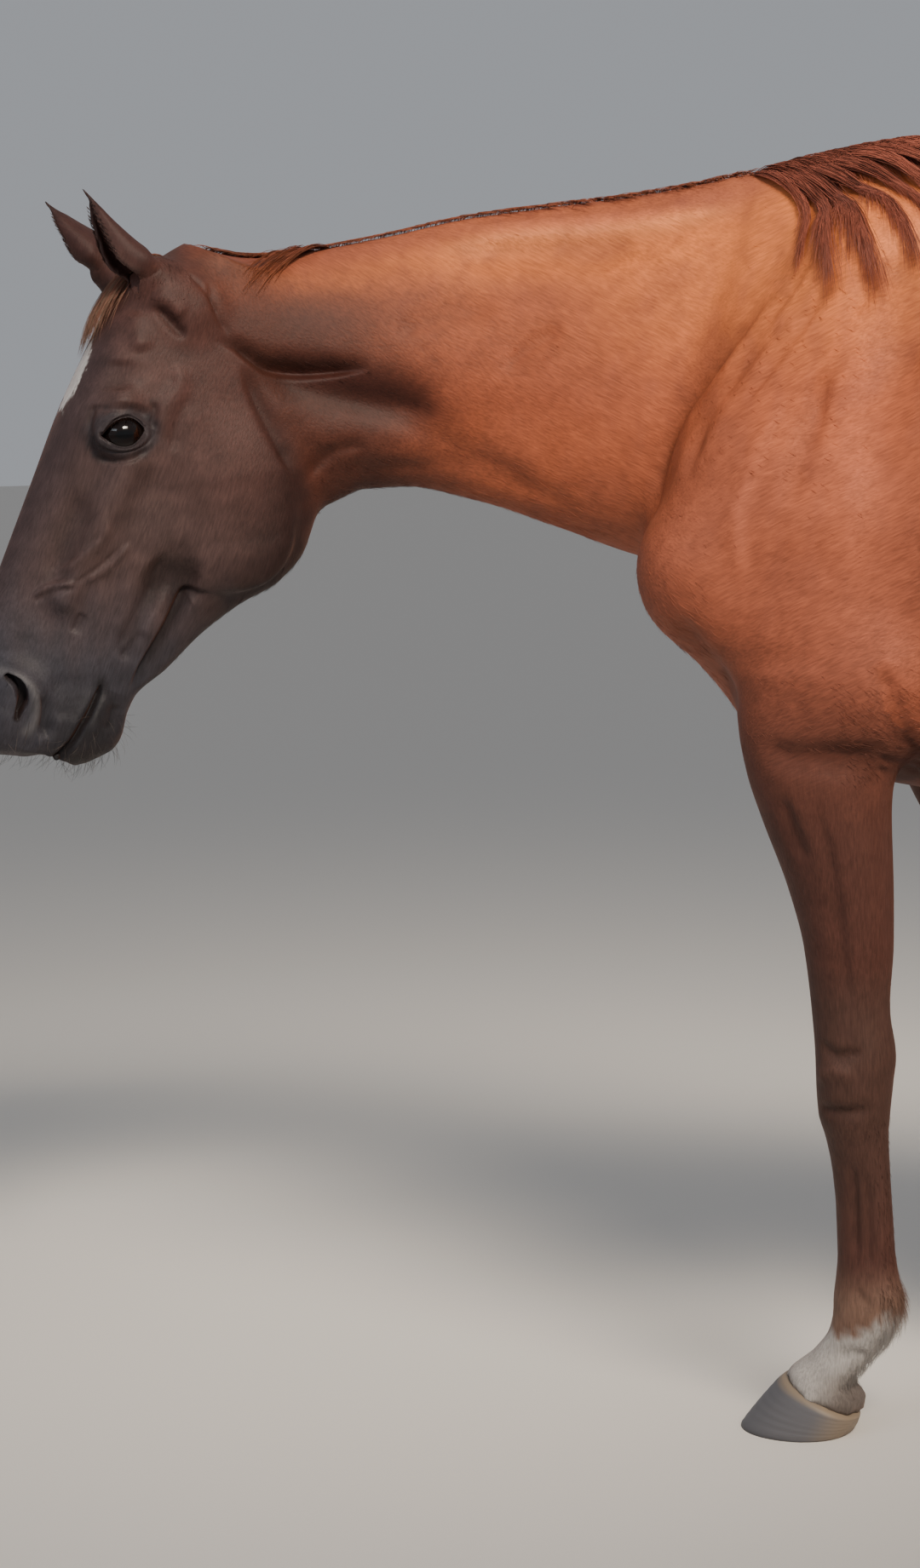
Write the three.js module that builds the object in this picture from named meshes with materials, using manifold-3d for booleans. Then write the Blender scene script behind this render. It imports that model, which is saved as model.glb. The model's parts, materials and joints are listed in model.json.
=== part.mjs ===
// Life-size chestnut riding horse, standing. Millimetres, +Z up, facing -X, its left side toward -Y.
// The body is one closed field made of lofts and muscle masses. Each named node is ringed on that field,
// and neighbouring nodes are parted by a thin cut.
import * as THREE from 'three';
import { mergeVertices } from 'three/addons/utils/BufferGeometryUtils.js';
import Module from 'manifold-3d';

const wasm = await Module();
wasm.setup();

// ---------------------------------------------------------------- driving dimensions
const CUT = 0.35;                 // gap left between neighbouring nodes
const HAIR_CUT = 0.7;             // gap left under the hair
const GROUND = 14;                // level of the soles before the whole is set on the floor
const FOOT_Y = 130;               // hooves stand this far from the mid-plane
const NECK_ROOT_X = -50;          // where the bending of the neck starts
const NECK_BEND = 38;             // degrees the neck and head are turned to the horse's left
const NECK_BEND_OVER = 600;       // length over which it bends
const POLL_S = 769;               // length along the neck to the poll
const POLL_Z = 1542;
const HEAD_PITCH = 66.2;          // the head's axis below the horizontal
const EYE_RADIUS = 28;
const EYE_AT = [252, 0, 82];     // along the head, forward of its axis, out from the middle
const TOE_IN = 10;                // degrees the near fore hoof is turned in
const OFF_FORE_BACK = [[-50, 262], [470, 172], [800, 95], [1000, 60], [1200, 40]];
const NEAR_HIND_BACK = [[-50, 38], [600, 20], [1000, 0]];
const OFF_HIND_FORWARD = [[-50, -95], [600, -45], [1000, -10]];
const SEG_TRUNK = 28;
const SEG_NECK = 20;
const SEG_HEAD = 22;
const SEG_LEG = 12;

// ---------------------------------------------------------------- small tools
const rad = (d) => d * Math.PI / 180;
const clamp = (v, a, b) => Math.min(b, Math.max(a, v));

// smooth curve through [station, value] rows
function curve(rows) {
  const n = rows.length;
  const slope = rows.map((r, i) => {
    if (i === 0 || i === n - 1) return 0;
    const a = (rows[i][1] - rows[i - 1][1]) / (rows[i][0] - rows[i - 1][0]);
    const b = (rows[i + 1][1] - rows[i][1]) / (rows[i + 1][0] - rows[i][0]);
    return a * b <= 0 ? 0 : 2 * a * b / (a + b);
  });
  slope[0] = (rows[1][1] - rows[0][1]) / (rows[1][0] - rows[0][0]);
  slope[n - 1] = (rows[n - 1][1] - rows[n - 2][1]) / (rows[n - 1][0] - rows[n - 2][0]);
  return (s) => {
    if (s <= rows[0][0]) return rows[0][1];
    if (s >= rows[n - 1][0]) return rows[n - 1][1];
    let i = 0;
    while (s > rows[i + 1][0]) i += 1;
    const h = rows[i + 1][0] - rows[i][0];
    const t = (s - rows[i][0]) / h;
    const t2 = t * t;
    const t3 = t2 * t;
    return (2 * t3 - 3 * t2 + 1) * rows[i][1] + (t3 - 2 * t2 + t) * h * slope[i]
      + (3 * t2 - 2 * t3) * rows[i + 1][1] + (t3 - t2) * h * slope[i + 1];
  };
}

// rows of [station, low, high, half width, height of the widest point, low power, high power]
function sections(rows) {
  const col = (k) => curve(rows.map((r) => [r[0], r[k]]));
  const [lo, hi, wide, at, pl, ph] = [1, 2, 3, 4, 5, 6].map(col);
  const first = rows[0][0];
  const last = rows[rows.length - 1][0];
  return (s) => {
    const q = clamp(s, first, last);
    return { lo: lo(q), hi: hi(q), w: wide(q), at: at(q), pl: pl(q), ph: ph(q), over: Math.abs(s - q) };
  };
}

// distance-like value of a point (l sideways, h high) against one section
function sectionField(c, l, h) {
  const mid = c.lo + (c.hi - c.lo) * c.at;
  const value = (ll, hh) => {
    const up = hh > mid;
    const p = up ? c.ph : c.pl;
    const v = Math.abs(hh - mid) / (up ? c.hi - mid : mid - c.lo);
    return (Math.abs(ll / c.w) ** p + v ** p) ** (1 / p) - 1;
  };
  const e = 0.5;
  const f = value(l, h);
  const gl = (value(Math.abs(l) + e, h) - f) / e;
  const gh = (value(Math.abs(l), h + (h > mid ? e : -e)) - f) / e;
  const d = f / Math.max(Math.hypot(gl, gh), 0.002);
  return c.over > 0 ? Math.hypot(Math.max(d, 0), c.over) : d;
}

// rounded muscle: a tapered capsule, with one radius at each end, flattened across the body
function muscle(a, b, ra, rb, flat = 1) {
  return (x, y, z) => {
    const s = [b[0] - a[0], b[1] - a[1], b[2] - a[2]];
    const p = [x - a[0], y - a[1], z - a[2]];
    const t = clamp((p[0] * s[0] + p[1] * s[1] + p[2] * s[2]) / (s[0] ** 2 + s[1] ** 2 + s[2] ** 2), 0, 1);
    const d = [p[0] - s[0] * t, (p[1] - s[1] * t) / flat, p[2] - s[2] * t];
    return (Math.hypot(...d) - (ra + (rb - ra) * t)) * Math.min(1, flat ** 0.5);
  };
}

function blend(a, b, k) {
  const h = Math.max(k - Math.abs(a - b), 0) / k;
  return Math.min(a, b) - h * h * k * 0.25;
}

const both = (make) => (x, y, z) => make(x, Math.abs(y), z);

// ---------------------------------------------------------------- the bent neck and the head's frame
const bendAt = (s) => rad(NECK_BEND) * clamp(s / NECK_BEND_OVER, 0, 1) ** 1.2;
const neckLine = [];
for (let i = 0, x = NECK_ROOT_X, y = 0; i <= 240; i += 1) {
  const s = i * 5;
  neckLine.push([x, y, bendAt(s)]);
  x -= Math.cos(bendAt(s + 2.5)) * 5;
  y -= Math.sin(bendAt(s + 2.5)) * 5;
}
function neckPoint(s) {
  if (s <= 0) return [NECK_ROOT_X - s, 0, 0];
  const i = Math.min(Math.floor(s / 5), 239);
  const t = s / 5 - i;
  return [0, 1, 2].map((k) => neckLine[i][k] * (1 - t) + neckLine[i + 1][k] * t);
}
function neckCoords(x, y) {
  let s = NECK_ROOT_X - x;
  for (let k = 0; k < 5; k += 1) {
    const [cx, cy, a] = neckPoint(s);
    s += (x - cx) * -Math.cos(a) + (y - cy) * -Math.sin(a);
  }
  const [cx, cy, a] = neckPoint(s);
  return [s, (x - cx) * -Math.sin(a) + (y - cy) * Math.cos(a)];
}
const [POLL_X, POLL_Y, HEAD_YAW] = neckPoint(POLL_S);
const PITCH = rad(HEAD_PITCH);
const FORE = [-Math.cos(HEAD_YAW), -Math.sin(HEAD_YAW)];
const SIDE = [-Math.sin(HEAD_YAW), Math.cos(HEAD_YAW)];
// head coordinates: t down the face, n forward of the axis, l to the horse's right
const headPoint = (t, n, l) => {
  const f = t * Math.cos(PITCH) + n * Math.sin(PITCH);
  return [POLL_X + FORE[0] * f + SIDE[0] * l, POLL_Y + FORE[1] * f + SIDE[1] * l,
    POLL_Z - t * Math.sin(PITCH) + n * Math.cos(PITCH)];
};
const headCoords = (x, y, z) => {
  const f = (x - POLL_X) * FORE[0] + (y - POLL_Y) * FORE[1];
  const l = (x - POLL_X) * SIDE[0] + (y - POLL_Y) * SIDE[1];
  const h = z - POLL_Z;
  return [f * Math.cos(PITCH) - h * Math.sin(PITCH), f * Math.sin(PITCH) + h * Math.cos(PITCH), l];
};

// ---------------------------------------------------------------- outlines
// station x: sternum or belly, back, half width, height share of the widest point, powers
const TRUNK = sections([
  [-160, 1020, 1320, 100, 0.45, 2.0, 2.0], [-110, 945, 1440, 160, 0.42, 2.0, 1.7],
  [-50, 884, 1564, 195, 0.42, 1.9, 1.45], [50, 838, 1606, 212, 0.42, 1.8, 1.35],
  [130, 824, 1623, 222, 0.42, 1.9, 1.3], [210, 815, 1632, 238, 0.42, 2.0, 1.35],
  [320, 808, 1608, 268, 0.43, 2.1, 1.5], [450, 806, 1560, 292, 0.45, 2.1, 1.75],
  [600, 818, 1526, 304, 0.47, 2.1, 2.0], [750, 842, 1518, 300, 0.49, 2.1, 2.1],
  [880, 880, 1534, 276, 0.52, 2.1, 2.1], [1000, 930, 1566, 262, 0.58, 2.0, 2.0],
  [1100, 985, 1588, 268, 0.60, 2.0, 1.9], [1180, 1030, 1586, 268, 0.55, 2.0, 1.9],
  [1270, 1060, 1560, 245, 0.50, 2.0, 1.9], [1350, 1090, 1510, 190, 0.50, 2.0, 1.9],
  [1395, 1140, 1462, 120, 0.50, 2.0, 2.0]]);
const NECK = sections([
  [-160, 1130, 1606, 118, 0.40, 2.0, 1.5], [0, 1085, 1606, 122, 0.38, 2.0, 1.5],
  [120, 1104, 1592, 116, 0.38, 2.0, 1.5], [200, 1126, 1584, 108, 0.39, 2.0, 1.5],
  [300, 1165, 1577, 99, 0.41, 2.0, 1.6], [400, 1202, 1568, 91, 0.43, 2.0, 1.7],
  [500, 1225, 1550, 85, 0.45, 2.0, 1.8], [550, 1224, 1542, 82, 0.46, 2.0, 1.85],
  [600, 1208, 1535, 79, 0.50, 2.0, 1.9], [700, 1230, 1527, 75, 0.54, 2.0, 2.1],
  [769, 1290, 1533, 66, 0.55, 2.0, 2.1],
  [830, 1330, 1495, 52, 0.55, 2.0, 2.1]]);
// down the face: back of the jaw, front of the face, half width, place of the widest point, powers
const HEAD = sections([
  [-6, -150, 2, 56, 0.60, 2.0, 2.2], [60, -190, 48, 72, 0.66, 2.0, 2.4],
  [110, -222, 66, 84, 0.72, 2.1, 2.6], [165, -256, 71, 93, 0.76, 2.2, 2.7],
  [205, -272, 74, 97, 0.76, 2.3, 2.7], [250, -282, 77, 95, 0.75, 2.4, 2.6],
  [300, -284, 78, 86, 0.70, 2.6, 2.2], [350, -268, 78, 80, 0.62, 2.7, 1.9],
  [400, -228, 78, 71, 0.58, 2.6, 1.8], [450, -197, 78, 61, 0.55, 2.4, 1.8],
  [510, -170, 78, 53, 0.52, 2.2, 1.9], [560, -144, 74, 51, 0.52, 2.2, 2.0],
  [600, -141, 64, 53, 0.53, 2.3, 2.1], [634, -128, 48, 49, 0.50, 2.3, 2.2],
  [664, -100, 22, 36, 0.50, 2.2, 2.2]]);
// height: front, back, half width, place of the widest point, powers; then the leg's middle sideways
const FORE_LEG = [
  [GROUND, -96, 51, 63], [28, -91, 58, 61], [50, -78, 66, 57], [80, -42, 57, 44], [97, -24, 70, 36],
  [121, 5, 90, 31], [150, 26, 113, 34], [173, 32, 125, 38], [192, 33, 127, 37], [220, 37, 121, 32],
  [250, 40, 117, 29], [305, 40, 115, 28], [360, 37, 113, 31], [400, 31, 112, 38], [433, 23, 115, 46],
  [470, 22, 120, 50], [505, 22, 125, 48], [560, 20, 120, 45], [645, 14, 128, 52], [720, -2, 131, 60],
  [806, -30, 133, 68], [869, -48, 141, 74], [925, -56, 155, 78], [985, -50, 150, 74]];
const FORE_Y = curve([[0, FOOT_Y], [450, 137], [700, 150], [880, 162], [1000, 158]]);
const HIND_LEG = [
  [GROUND, 1178, 1312, 61], [28, 1184, 1318, 60], [50, 1198, 1328, 56], [80, 1226, 1326, 44],
  [97, 1243, 1336, 37], [125, 1268, 1360, 33], [155, 1288, 1388, 36], [182, 1294, 1400, 39],
  [215, 1300, 1392, 34], [250, 1304, 1385, 31], [330, 1303, 1384, 31], [390, 1299, 1387, 34],
  [430, 1290, 1396, 40], [470, 1276, 1404, 47], [515, 1262, 1418, 50], [555, 1250, 1432, 48],
  [590, 1235, 1444, 42], [618, 1218, 1440, 40], [660, 1182, 1420, 41], [710, 1130, 1390, 47],
  [765, 1078, 1366, 57], [830, 1020, 1362, 70], [900, 966, 1374, 84], [970, 932, 1388, 94],
  [1040, 952, 1396, 96], [1100, 990, 1390, 88], [1180, 1040, 1370, 66]];
const HIND_Y = curve([[0, FOOT_Y], [500, 138], [700, 148], [900, 163], [1050, 158], [1180, 150]]);

const TRUNK_MUSCLES = [
  [both(muscle([110, 96, 1466], [-92, 138, 1120], 88, 90, 0.8)), 70],
  [both(muscle([-84, 140, 1100], [110, 172, 960], 86, 76, 0.9)), 60],
  [both(muscle([60, 158, 1150], [120, 176, 1000], 92, 72, 0.75)), 70],
  [both(muscle([-108, 70, 1120], [-8, 90, 945], 72, 66)), 50],
  [both(muscle([1200, 152, 1260], [1030, 168, 1035], 122, 92, 0.9)), 80],
  [both(muscle([1190, 160, 1180], [1190, 160, 1080], 112, 96, 0.95)), 80],
  [both(muscle([1310, 108, 1400], [1306, 148, 1070], 92, 88)), 70],
  [both(muscle([1010, 190, 1440], [1080, 185, 1420], 62, 66)), 80],
];
const HEAD_MASSES = [
  [[250, -150, 66], [320, -190, 62], 78, 66, 0.36, 22],     // round cheek
  [[215, 14, 92], [262, 22, 92], 15, 14, 1, 24],            // rim over the eye
  [[285, -22, 84], [470, -8, 54], 13, 10, 1, 30],           // crest of the face
  [[598, 4, 30], [628, 8, 30], 31, 28, 1, 26],              // nostril wing
  [[660, 4, 0], [656, -24, 0], 30, 25, 1.5, 30],            // upper lip
  [[618, -114, 0], [638, -100, 0], 28, 24, 1.4, 24],        // chin and lower lip
].map(([a, b, ra, rb, flat, k]) => {
  const f = muscle([a[0], a[2], a[1]], [b[0], b[2], b[1]], ra, rb, flat);
  return [(t, n, l) => f(t, Math.abs(l), n), k];
});

// ---------------------------------------------------------------- fields
const trunkField = (x, y, z) => {
  let d = sectionField(TRUNK(x), y, z);
  for (const [f, k] of TRUNK_MUSCLES) d = blend(d, f(x, y, z), k);
  return d;
};
const neckField = (x, y, z) => {
  const [s, l] = neckCoords(x, y);
  return sectionField(NECK(s), l, z);
};
const headField = (x, y, z) => {
  const [t, n, l] = headCoords(x, y, z);
  let d = sectionField(HEAD(t), l, n);
  for (const [f, k] of HEAD_MASSES) d = blend(d, f(t, n, l), k);
  return d;
};
// a leg: side -1 left or +1 right, rows of its outline, its middle, how it is set forward or back
function leg(rows, middle, side, setting, toe) {
  const lo = curve(rows.map((r) => [r[0], r[1]]));
  const hi = curve(rows.map((r) => [r[0], r[2]]));
  const w = curve(rows.map((r) => [r[0], r[3]]));
  const set = curve(setting);
  const turn = (z) => rad(toe) * clamp(1 - z / 420, 0, 1);
  const centre = (z) => [(lo(z) + hi(z)) / 2 + set(z), side * middle(z)];
  const field = (x, y, z) => {
    const [cx, cy] = centre(z);
    const a = -turn(z) * side;
    const dx = (x - cx) * Math.cos(a) - (y - cy) * Math.sin(a);
    const dy = (x - cx) * Math.sin(a) + (y - cy) * Math.cos(a);
    const half = (hi(z) - lo(z)) / 2;
    return sectionField({ lo: -half, hi: half, w: w(z), at: 0.5, pl: 2.15, ph: 2.1, over: 0 }, dy, dx);
  };
  return { centre, field, turn };
}
const LEGS = {
  fore_left: leg(FORE_LEG, FORE_Y, -1, [[0, 0], [1, 0]], TOE_IN),
  fore_right: leg(FORE_LEG, FORE_Y, 1, OFF_FORE_BACK, 2),
  hind_left: leg(HIND_LEG, HIND_Y, -1, NEAR_HIND_BACK, -4),
  hind_right: leg(HIND_LEG, HIND_Y, 1, OFF_HIND_FORWARD, -4),
};

// ---------------------------------------------------------------- solids from rings
function cast(field, o, d, far) {
  let a = 0;
  let b = 8;
  while (b < far && field(o[0] + d[0] * b, o[1] + d[1] * b, o[2] + d[2] * b) < 0) {
    a = b;
    b += 8;
  }
  for (let k = 0; k < 12; k += 1) {
    const m = (a + b) / 2;
    if (field(o[0] + d[0] * m, o[1] + d[1] * m, o[2] + d[2] * m) < 0) a = m;
    else b = m;
  }
  return [o[0] + d[0] * a, o[1] + d[1] * a, o[2] + d[2] * a];
}

// closes a stack of equal rings with a centre point at each end
function loft(rings) {
  const n = rings[0].length;
  const pos = rings.flat();
  const tri = [];
  for (let i = 0; i + 1 < rings.length; i += 1) {
    for (let j = 0; j < n; j += 1) {
      const a = i * n + j;
      const b = i * n + (j + 1) % n;
      tri.push([a, b, b + n], [a, b + n, a + n]);
    }
  }
  for (const [base, flip] of [[0, 1], [(rings.length - 1) * n, 0]]) {
    const mean = [0, 1, 2].map((k) => pos.slice(base, base + n).reduce((s, p) => s + p[k], 0) / n);
    pos.push(mean);
    for (let j = 0; j < n; j += 1) {
      const a = base + j;
      const b = base + (j + 1) % n;
      tri.push(flip ? [pos.length - 1, b, a] : [pos.length - 1, a, b]);
    }
  }
  const geo = new THREE.BufferGeometry();
  geo.setAttribute('position', new THREE.Float32BufferAttribute(pos.flat(), 3));
  geo.setIndex(tri.flat());
  const merged = mergeVertices(geo, 0.02);
  const idx = [...merged.index.array];
  const keep = [];
  for (let i = 0; i < idx.length; i += 3) {
    const [a, b, c] = idx.slice(i, i + 3);
    if (a !== b && b !== c && c !== a) keep.push(a, b, c);
  }
  merged.setIndex(keep);
  return volume(merged) < 0 ? flipped(merged) : merged;
}
function flipped(geo) {
  const idx = [...geo.index.array];
  for (let i = 0; i < idx.length; i += 3) [idx[i], idx[i + 1]] = [idx[i + 1], idx[i]];
  geo.setIndex(idx);
  return geo;
}
function volume(geo) {
  const p = geo.attributes.position.array;
  const idx = geo.index.array;
  let v = 0;
  for (let i = 0; i < idx.length; i += 3) {
    const [a, b, c] = [idx[i] * 3, idx[i + 1] * 3, idx[i + 2] * 3];
    v += p[a] * (p[b + 1] * p[c + 2] - p[b + 2] * p[c + 1])
      - p[a + 1] * (p[b] * p[c + 2] - p[b + 2] * p[c])
      + p[a + 2] * (p[b] * p[c + 1] - p[b + 1] * p[c]);
  }
  return v / 6;
}

// rings round an axis of frames {o, u, v}, closed by domes at both ends where asked
function rings(field, frames, n, far, domeStart = 0, domeEnd = 0) {
  const out = [];
  const ring = (f, tilt) => {
    const w = cross(f.u, f.v);
    const loop = [];
    for (let j = 0; j < n; j += 1) {
      const a = 2 * Math.PI * j / n;
      const c = Math.cos(a) * Math.cos(tilt);
      const s = Math.sin(a) * Math.cos(tilt);
      const k = Math.sin(tilt);
      loop.push(cast(field, f.o, [0, 1, 2].map((i) => f.u[i] * c + f.v[i] * s + w[i] * k), far));
    }
    return loop;
  };
  for (let i = domeStart; i > 0; i -= 1) out.push(ring(frames[0], -rad(88) * i / (domeStart + 0.2)));
  for (const f of frames) out.push(ring(f, 0));
  const last = frames[frames.length - 1];
  for (let i = 1; i <= domeEnd; i += 1) out.push(ring(last, rad(88) * i / (domeEnd + 0.2)));
  return out;
}
const cross = (a, b) => [a[1] * b[2] - a[2] * b[1], a[2] * b[0] - a[0] * b[2], a[0] * b[1] - a[1] * b[0]];
const spread = (a, b, step) => {
  const n = Math.max(1, Math.round(Math.abs(b - a) / step));
  return Array.from({ length: n + 1 }, (_, i) => a + (b - a) * i / n);
};

// ---------------------------------------------------------------- booleans
const solid = (geo) => {
  const m = new wasm.Mesh({
    numProp: 3,
    vertProperties: new Float32Array(geo.attributes.position.array),
    triVerts: new Uint32Array(geo.index.array),
  });
  return new wasm.Manifold(m);
};
// the largest separate lump of a boolean's result
function largest(manifold) {
  const mesh = manifold.getMesh();
  const pos = [];
  for (let i = 0; i < mesh.vertProperties.length; i += mesh.numProp) {
    pos.push(...mesh.vertProperties.slice(i, i + 3));
  }
  const parent = Array.from({ length: pos.length / 3 }, (_, i) => i);
  const root = (i) => {
    while (parent[i] !== i) {
      parent[i] = parent[parent[i]];
      i = parent[i];
    }
    return i;
  };
  const tri = mesh.triVerts;
  for (let i = 0; i < tri.length; i += 3) {
    parent[root(tri[i])] = root(tri[i + 1]);
    parent[root(tri[i + 1])] = root(tri[i + 2]);
  }
  const lumps = new Map();
  for (let i = 0; i < tri.length; i += 3) {
    const r = root(tri[i]);
    if (!lumps.has(r)) lumps.set(r, []);
    lumps.get(r).push(tri[i], tri[i + 1], tri[i + 2]);
  }
  let best = null;
  for (const idx of lumps.values()) {
    const geo = new THREE.BufferGeometry();
    geo.setAttribute('position', new THREE.Float32BufferAttribute(pos, 3));
    geo.setIndex(idx);
    if (!best || volume(geo) > volume(best)) best = geo;
  }
  return best;
}
// the same solid grown by the width of a cut
function grown(geo, by) {
  const g = geo.clone();
  g.computeVertexNormals();
  const p = g.attributes.position.array;
  const n = g.attributes.normal.array;
  for (let i = 0; i < p.length; i += 1) p[i] += n[i] * by;
  g.deleteAttribute('normal');
  return g;
}
const lessBy = (by, geo, ...others) => {
  let m = solid(geo);
  for (const o of others) m = m.subtract(solid(grown(o, by)));
  return largest(m);
};
const minus = (geo, ...others) => lessBy(CUT, geo, ...others);

// ---------------------------------------------------------------- trunk
const trunkFrames = spread(-110, 1330, 56).map((x) => {
  const c = TRUNK(x);
  return { o: [x, 0, c.lo + (c.hi - c.lo) * 0.5], u: [0, 1, 0], v: [0, 0, 1] };
});
const trunk = loft(rings(trunkField, trunkFrames, SEG_TRUNK, 600, 4, 4));

// ---------------------------------------------------------------- neck and head
const neckFrames = spread(-40, 760, 72).map((s) => {
  const [x, y, a] = neckPoint(s);
  const c = NECK(s);
  return { o: [x, y, c.lo + (c.hi - c.lo) * 0.5], u: [-Math.sin(a), Math.cos(a), 0], v: [0, 0, 1] };
});
const neckWhole = loft(rings(neckField, neckFrames, SEG_NECK, 500));

const headFront = [0, 1, 2].map((i) => headPoint(0, 1, 0)[i] - headPoint(0, 0, 0)[i]);
const headSide = [SIDE[0], SIDE[1], 0];
const headFrames = spread(20, 640, 31).map((t) => {
  const c = HEAD(t);
  return { o: headPoint(t, c.lo + (c.hi - c.lo) * 0.52, 0), u: headFront, v: headSide };
});
const headWhole = loft(rings(headField, headFrames, SEG_HEAD, 420, 2, 3));

function ball(centre, radius, rows, n) {
  const out = [];
  for (let i = 1; i < rows; i += 1) {
    const a = Math.PI * i / rows;
    out.push(Array.from({ length: n }, (_, j) => {
      const b = 2 * Math.PI * j / n;
      return [centre[0] + radius * Math.sin(a) * Math.cos(b), centre[1] + radius * Math.sin(a) * Math.sin(b),
        centre[2] + radius * Math.cos(a)];
    }));
  }
  return loft(out);
}
const eyeCentre = (side) => headPoint(EYE_AT[0], EYE_AT[1], side * EYE_AT[2]);
const eyes = [-1, 1].map((side) => ball(eyeCentre(side), EYE_RADIUS, 7, 10));

// ---------------------------------------------------------------- ears
// a folded sheet closed at its root, opening into a slot that faces forward and a little outward
const EAR_FORWARD = curve([[-0.15, 0], [0.2, 4], [0.35, 11], [0.5, 15], [0.7, 11], [0.87, 5], [1, -1]]);
const EAR_DEEP = curve([
  [-0.15, 38], [0.1, 36], [0.22, 30], [0.35, 24], [0.5, 21], [0.7, 13], [0.87, 7], [1, 3],
]);
const EAR_WIDE = curve([[-0.15, 35], [0.15, 37], [0.35, 36], [0.55, 30], [0.75, 20], [0.9, 11], [1, 4]]);
// [across, forward] round one section, where the ear is closed and where it is open
const EAR_CLOSED = [[0, -1], [0.5, -0.87], [0.87, -0.5], [1, 0], [0.87, 0.5], [0.5, 0.87], [0, 1]];
const EAR_SLOT = [[0, -1], [0.5, -0.87], [0.87, -0.5], [1, 0.1], [0.82, 0.85], [0.5, 0.1], [0, -0.5]];
function ear(base, tip, side, turn, forward) {
  const b = headPoint(...base);
  const e = headPoint(...tip);
  const axis = new THREE.Vector3(e[0] - b[0], e[1] - b[1], e[2] - b[2]);
  const len = axis.length();
  axis.normalize();
  const out = new THREE.Vector3(headSide[0], headSide[1], 0).multiplyScalar(side);
  const front = new THREE.Vector3().crossVectors(out, axis).normalize();
  if (front.dot(new THREE.Vector3(FORE[0], FORE[1], 0)) < 0) front.negate();
  const look = front.clone().multiplyScalar(Math.cos(rad(turn))).addScaledVector(out, Math.sin(rad(turn)));
  look.addScaledVector(axis, -look.dot(axis)).normalize();
  const across = new THREE.Vector3().crossVectors(axis, look).normalize();
  const loops = [];
  for (const u of [-0.12, 0.06, 0.24, 0.44, 0.64, 0.82, 1]) {
    const open = clamp((u - 0.1) * 5, 0, 1);
    const half = EAR_CLOSED.map((c, k) => c.map((v, i) => v + (EAR_SLOT[k][i] - v) * open));
    const round = [...half, ...half.slice(1, -1).reverse().map(([a, f]) => [-a, f])];
    loops.push(round.map(([a, f]) => {
      const c = new THREE.Vector3(...b).addScaledVector(axis, u * len)
        .addScaledVector(across, a * EAR_WIDE(u))
        .addScaledVector(look, f * EAR_DEEP(u) + forward * EAR_FORWARD(u));
      return [c.x, c.y, c.z];
    }));
  }
  return loft(loops);
}
const earLeft = minus(ear([64, -6, -56], [-14, 147, -62], -1, 16, 1), headWhole, neckWhole);
const earRight = minus(ear([64, 42, 50], [6, 176, 60], 1, 22, 0.1), headWhole, neckWhole);

const head = minus(headWhole, ...eyes);
const neck = minus(neckWhole, trunk, headWhole);

// ---------------------------------------------------------------- legs and hooves
function flatRings(limb, stations) {
  return stations.map(([z, slope]) => {
    const [cx, cy] = limb.centre(z);
    const loop = [];
    for (let j = 0; j < SEG_LEG; j += 1) {
      const a = 2 * Math.PI * j / SEG_LEG;
      const t = limb.turn(z);
      const k = cy < 0 ? t : -t;
      const along = Math.cos(a);
      const across = Math.sin(a);
      const dx = along * Math.cos(k) - across * Math.sin(k);
      const dy = along * Math.sin(k) + across * Math.cos(k);
      loop.push(cast(limb.field, [cx, cy, z], [dx, dy, -along * Math.tan(rad(slope))], 400));
    }
    return loop;
  });
}
const flat = (list) => list.map((z) => [z, 0]);

function hoof(limb) {
  const [cx, cy] = limb.centre(20);
  const corona = flatRings(limb, [[64, 25]])[0];
  const ground = flatRings(limb, [[GROUND, 0]])[0];
  const loops = [];
  for (const u of [0, 0.06, 0.5, 0.88, 1]) {
    loops.push(ground.map((g, j) => {
      const c = corona[j];
      const swell = u === 1 ? 1 : 1 + 0.03 * Math.sin(Math.PI * u);
      const x = g[0] + (c[0] - g[0]) * u;
      const y = g[1] + (c[1] - g[1]) * u;
      const tuck = u === 0 ? 0.975 : swell;
      return [cx + (x - cx) * tuck, cy + (y - cy) * tuck, GROUND + (c[2] - GROUND) * u];
    }));
  }
  return loft(loops);
}
function legNodes(name, limb, kneeCut, upper, lower, others) {
  const shin = [...flat(lower), [97, 14], [80, 22], [64, 25]].reverse();
  const low = flatRings(limb, shin);
  low[0] = low[0].map((p) => [p[0], p[1], p[2] + CUT]);
  low[low.length - 1] = low[low.length - 1].map((p) => [p[0], p[1], kneeCut - CUT]);
  const high = flatRings(limb, flat([kneeCut, ...upper]));
  return [
    [`upper_${name}`, minus(loft(high), ...others)],
    [`lower_${name}`, loft(low)],
    [`hoof_${name}`, hoof(limb)],
  ];
}
const FORE_CUT = 560;
const HIND_CUT = 690;
const foreLow = [FORE_CUT, 512, 478, 440, 400, 350, 225, 195, 172, 148, 121];
const foreHigh = [620, 690, 760, 830, 890, 940, 982];
const hindLow = [HIND_CUT, 650, 618, 588, 550, 505, 460, 415, 360, 218, 184, 155, 125];
const hindHigh = [740, 800, 860, 920, 980, 1050, 1115, 1175];
const legParts = Object.entries(LEGS).flatMap(([name, limb]) => {
  const fore = name.startsWith('fore');
  return legNodes(name, limb, fore ? FORE_CUT : HIND_CUT, fore ? foreHigh : hindHigh,
    fore ? foreLow : hindLow, [trunk]);
});

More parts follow.
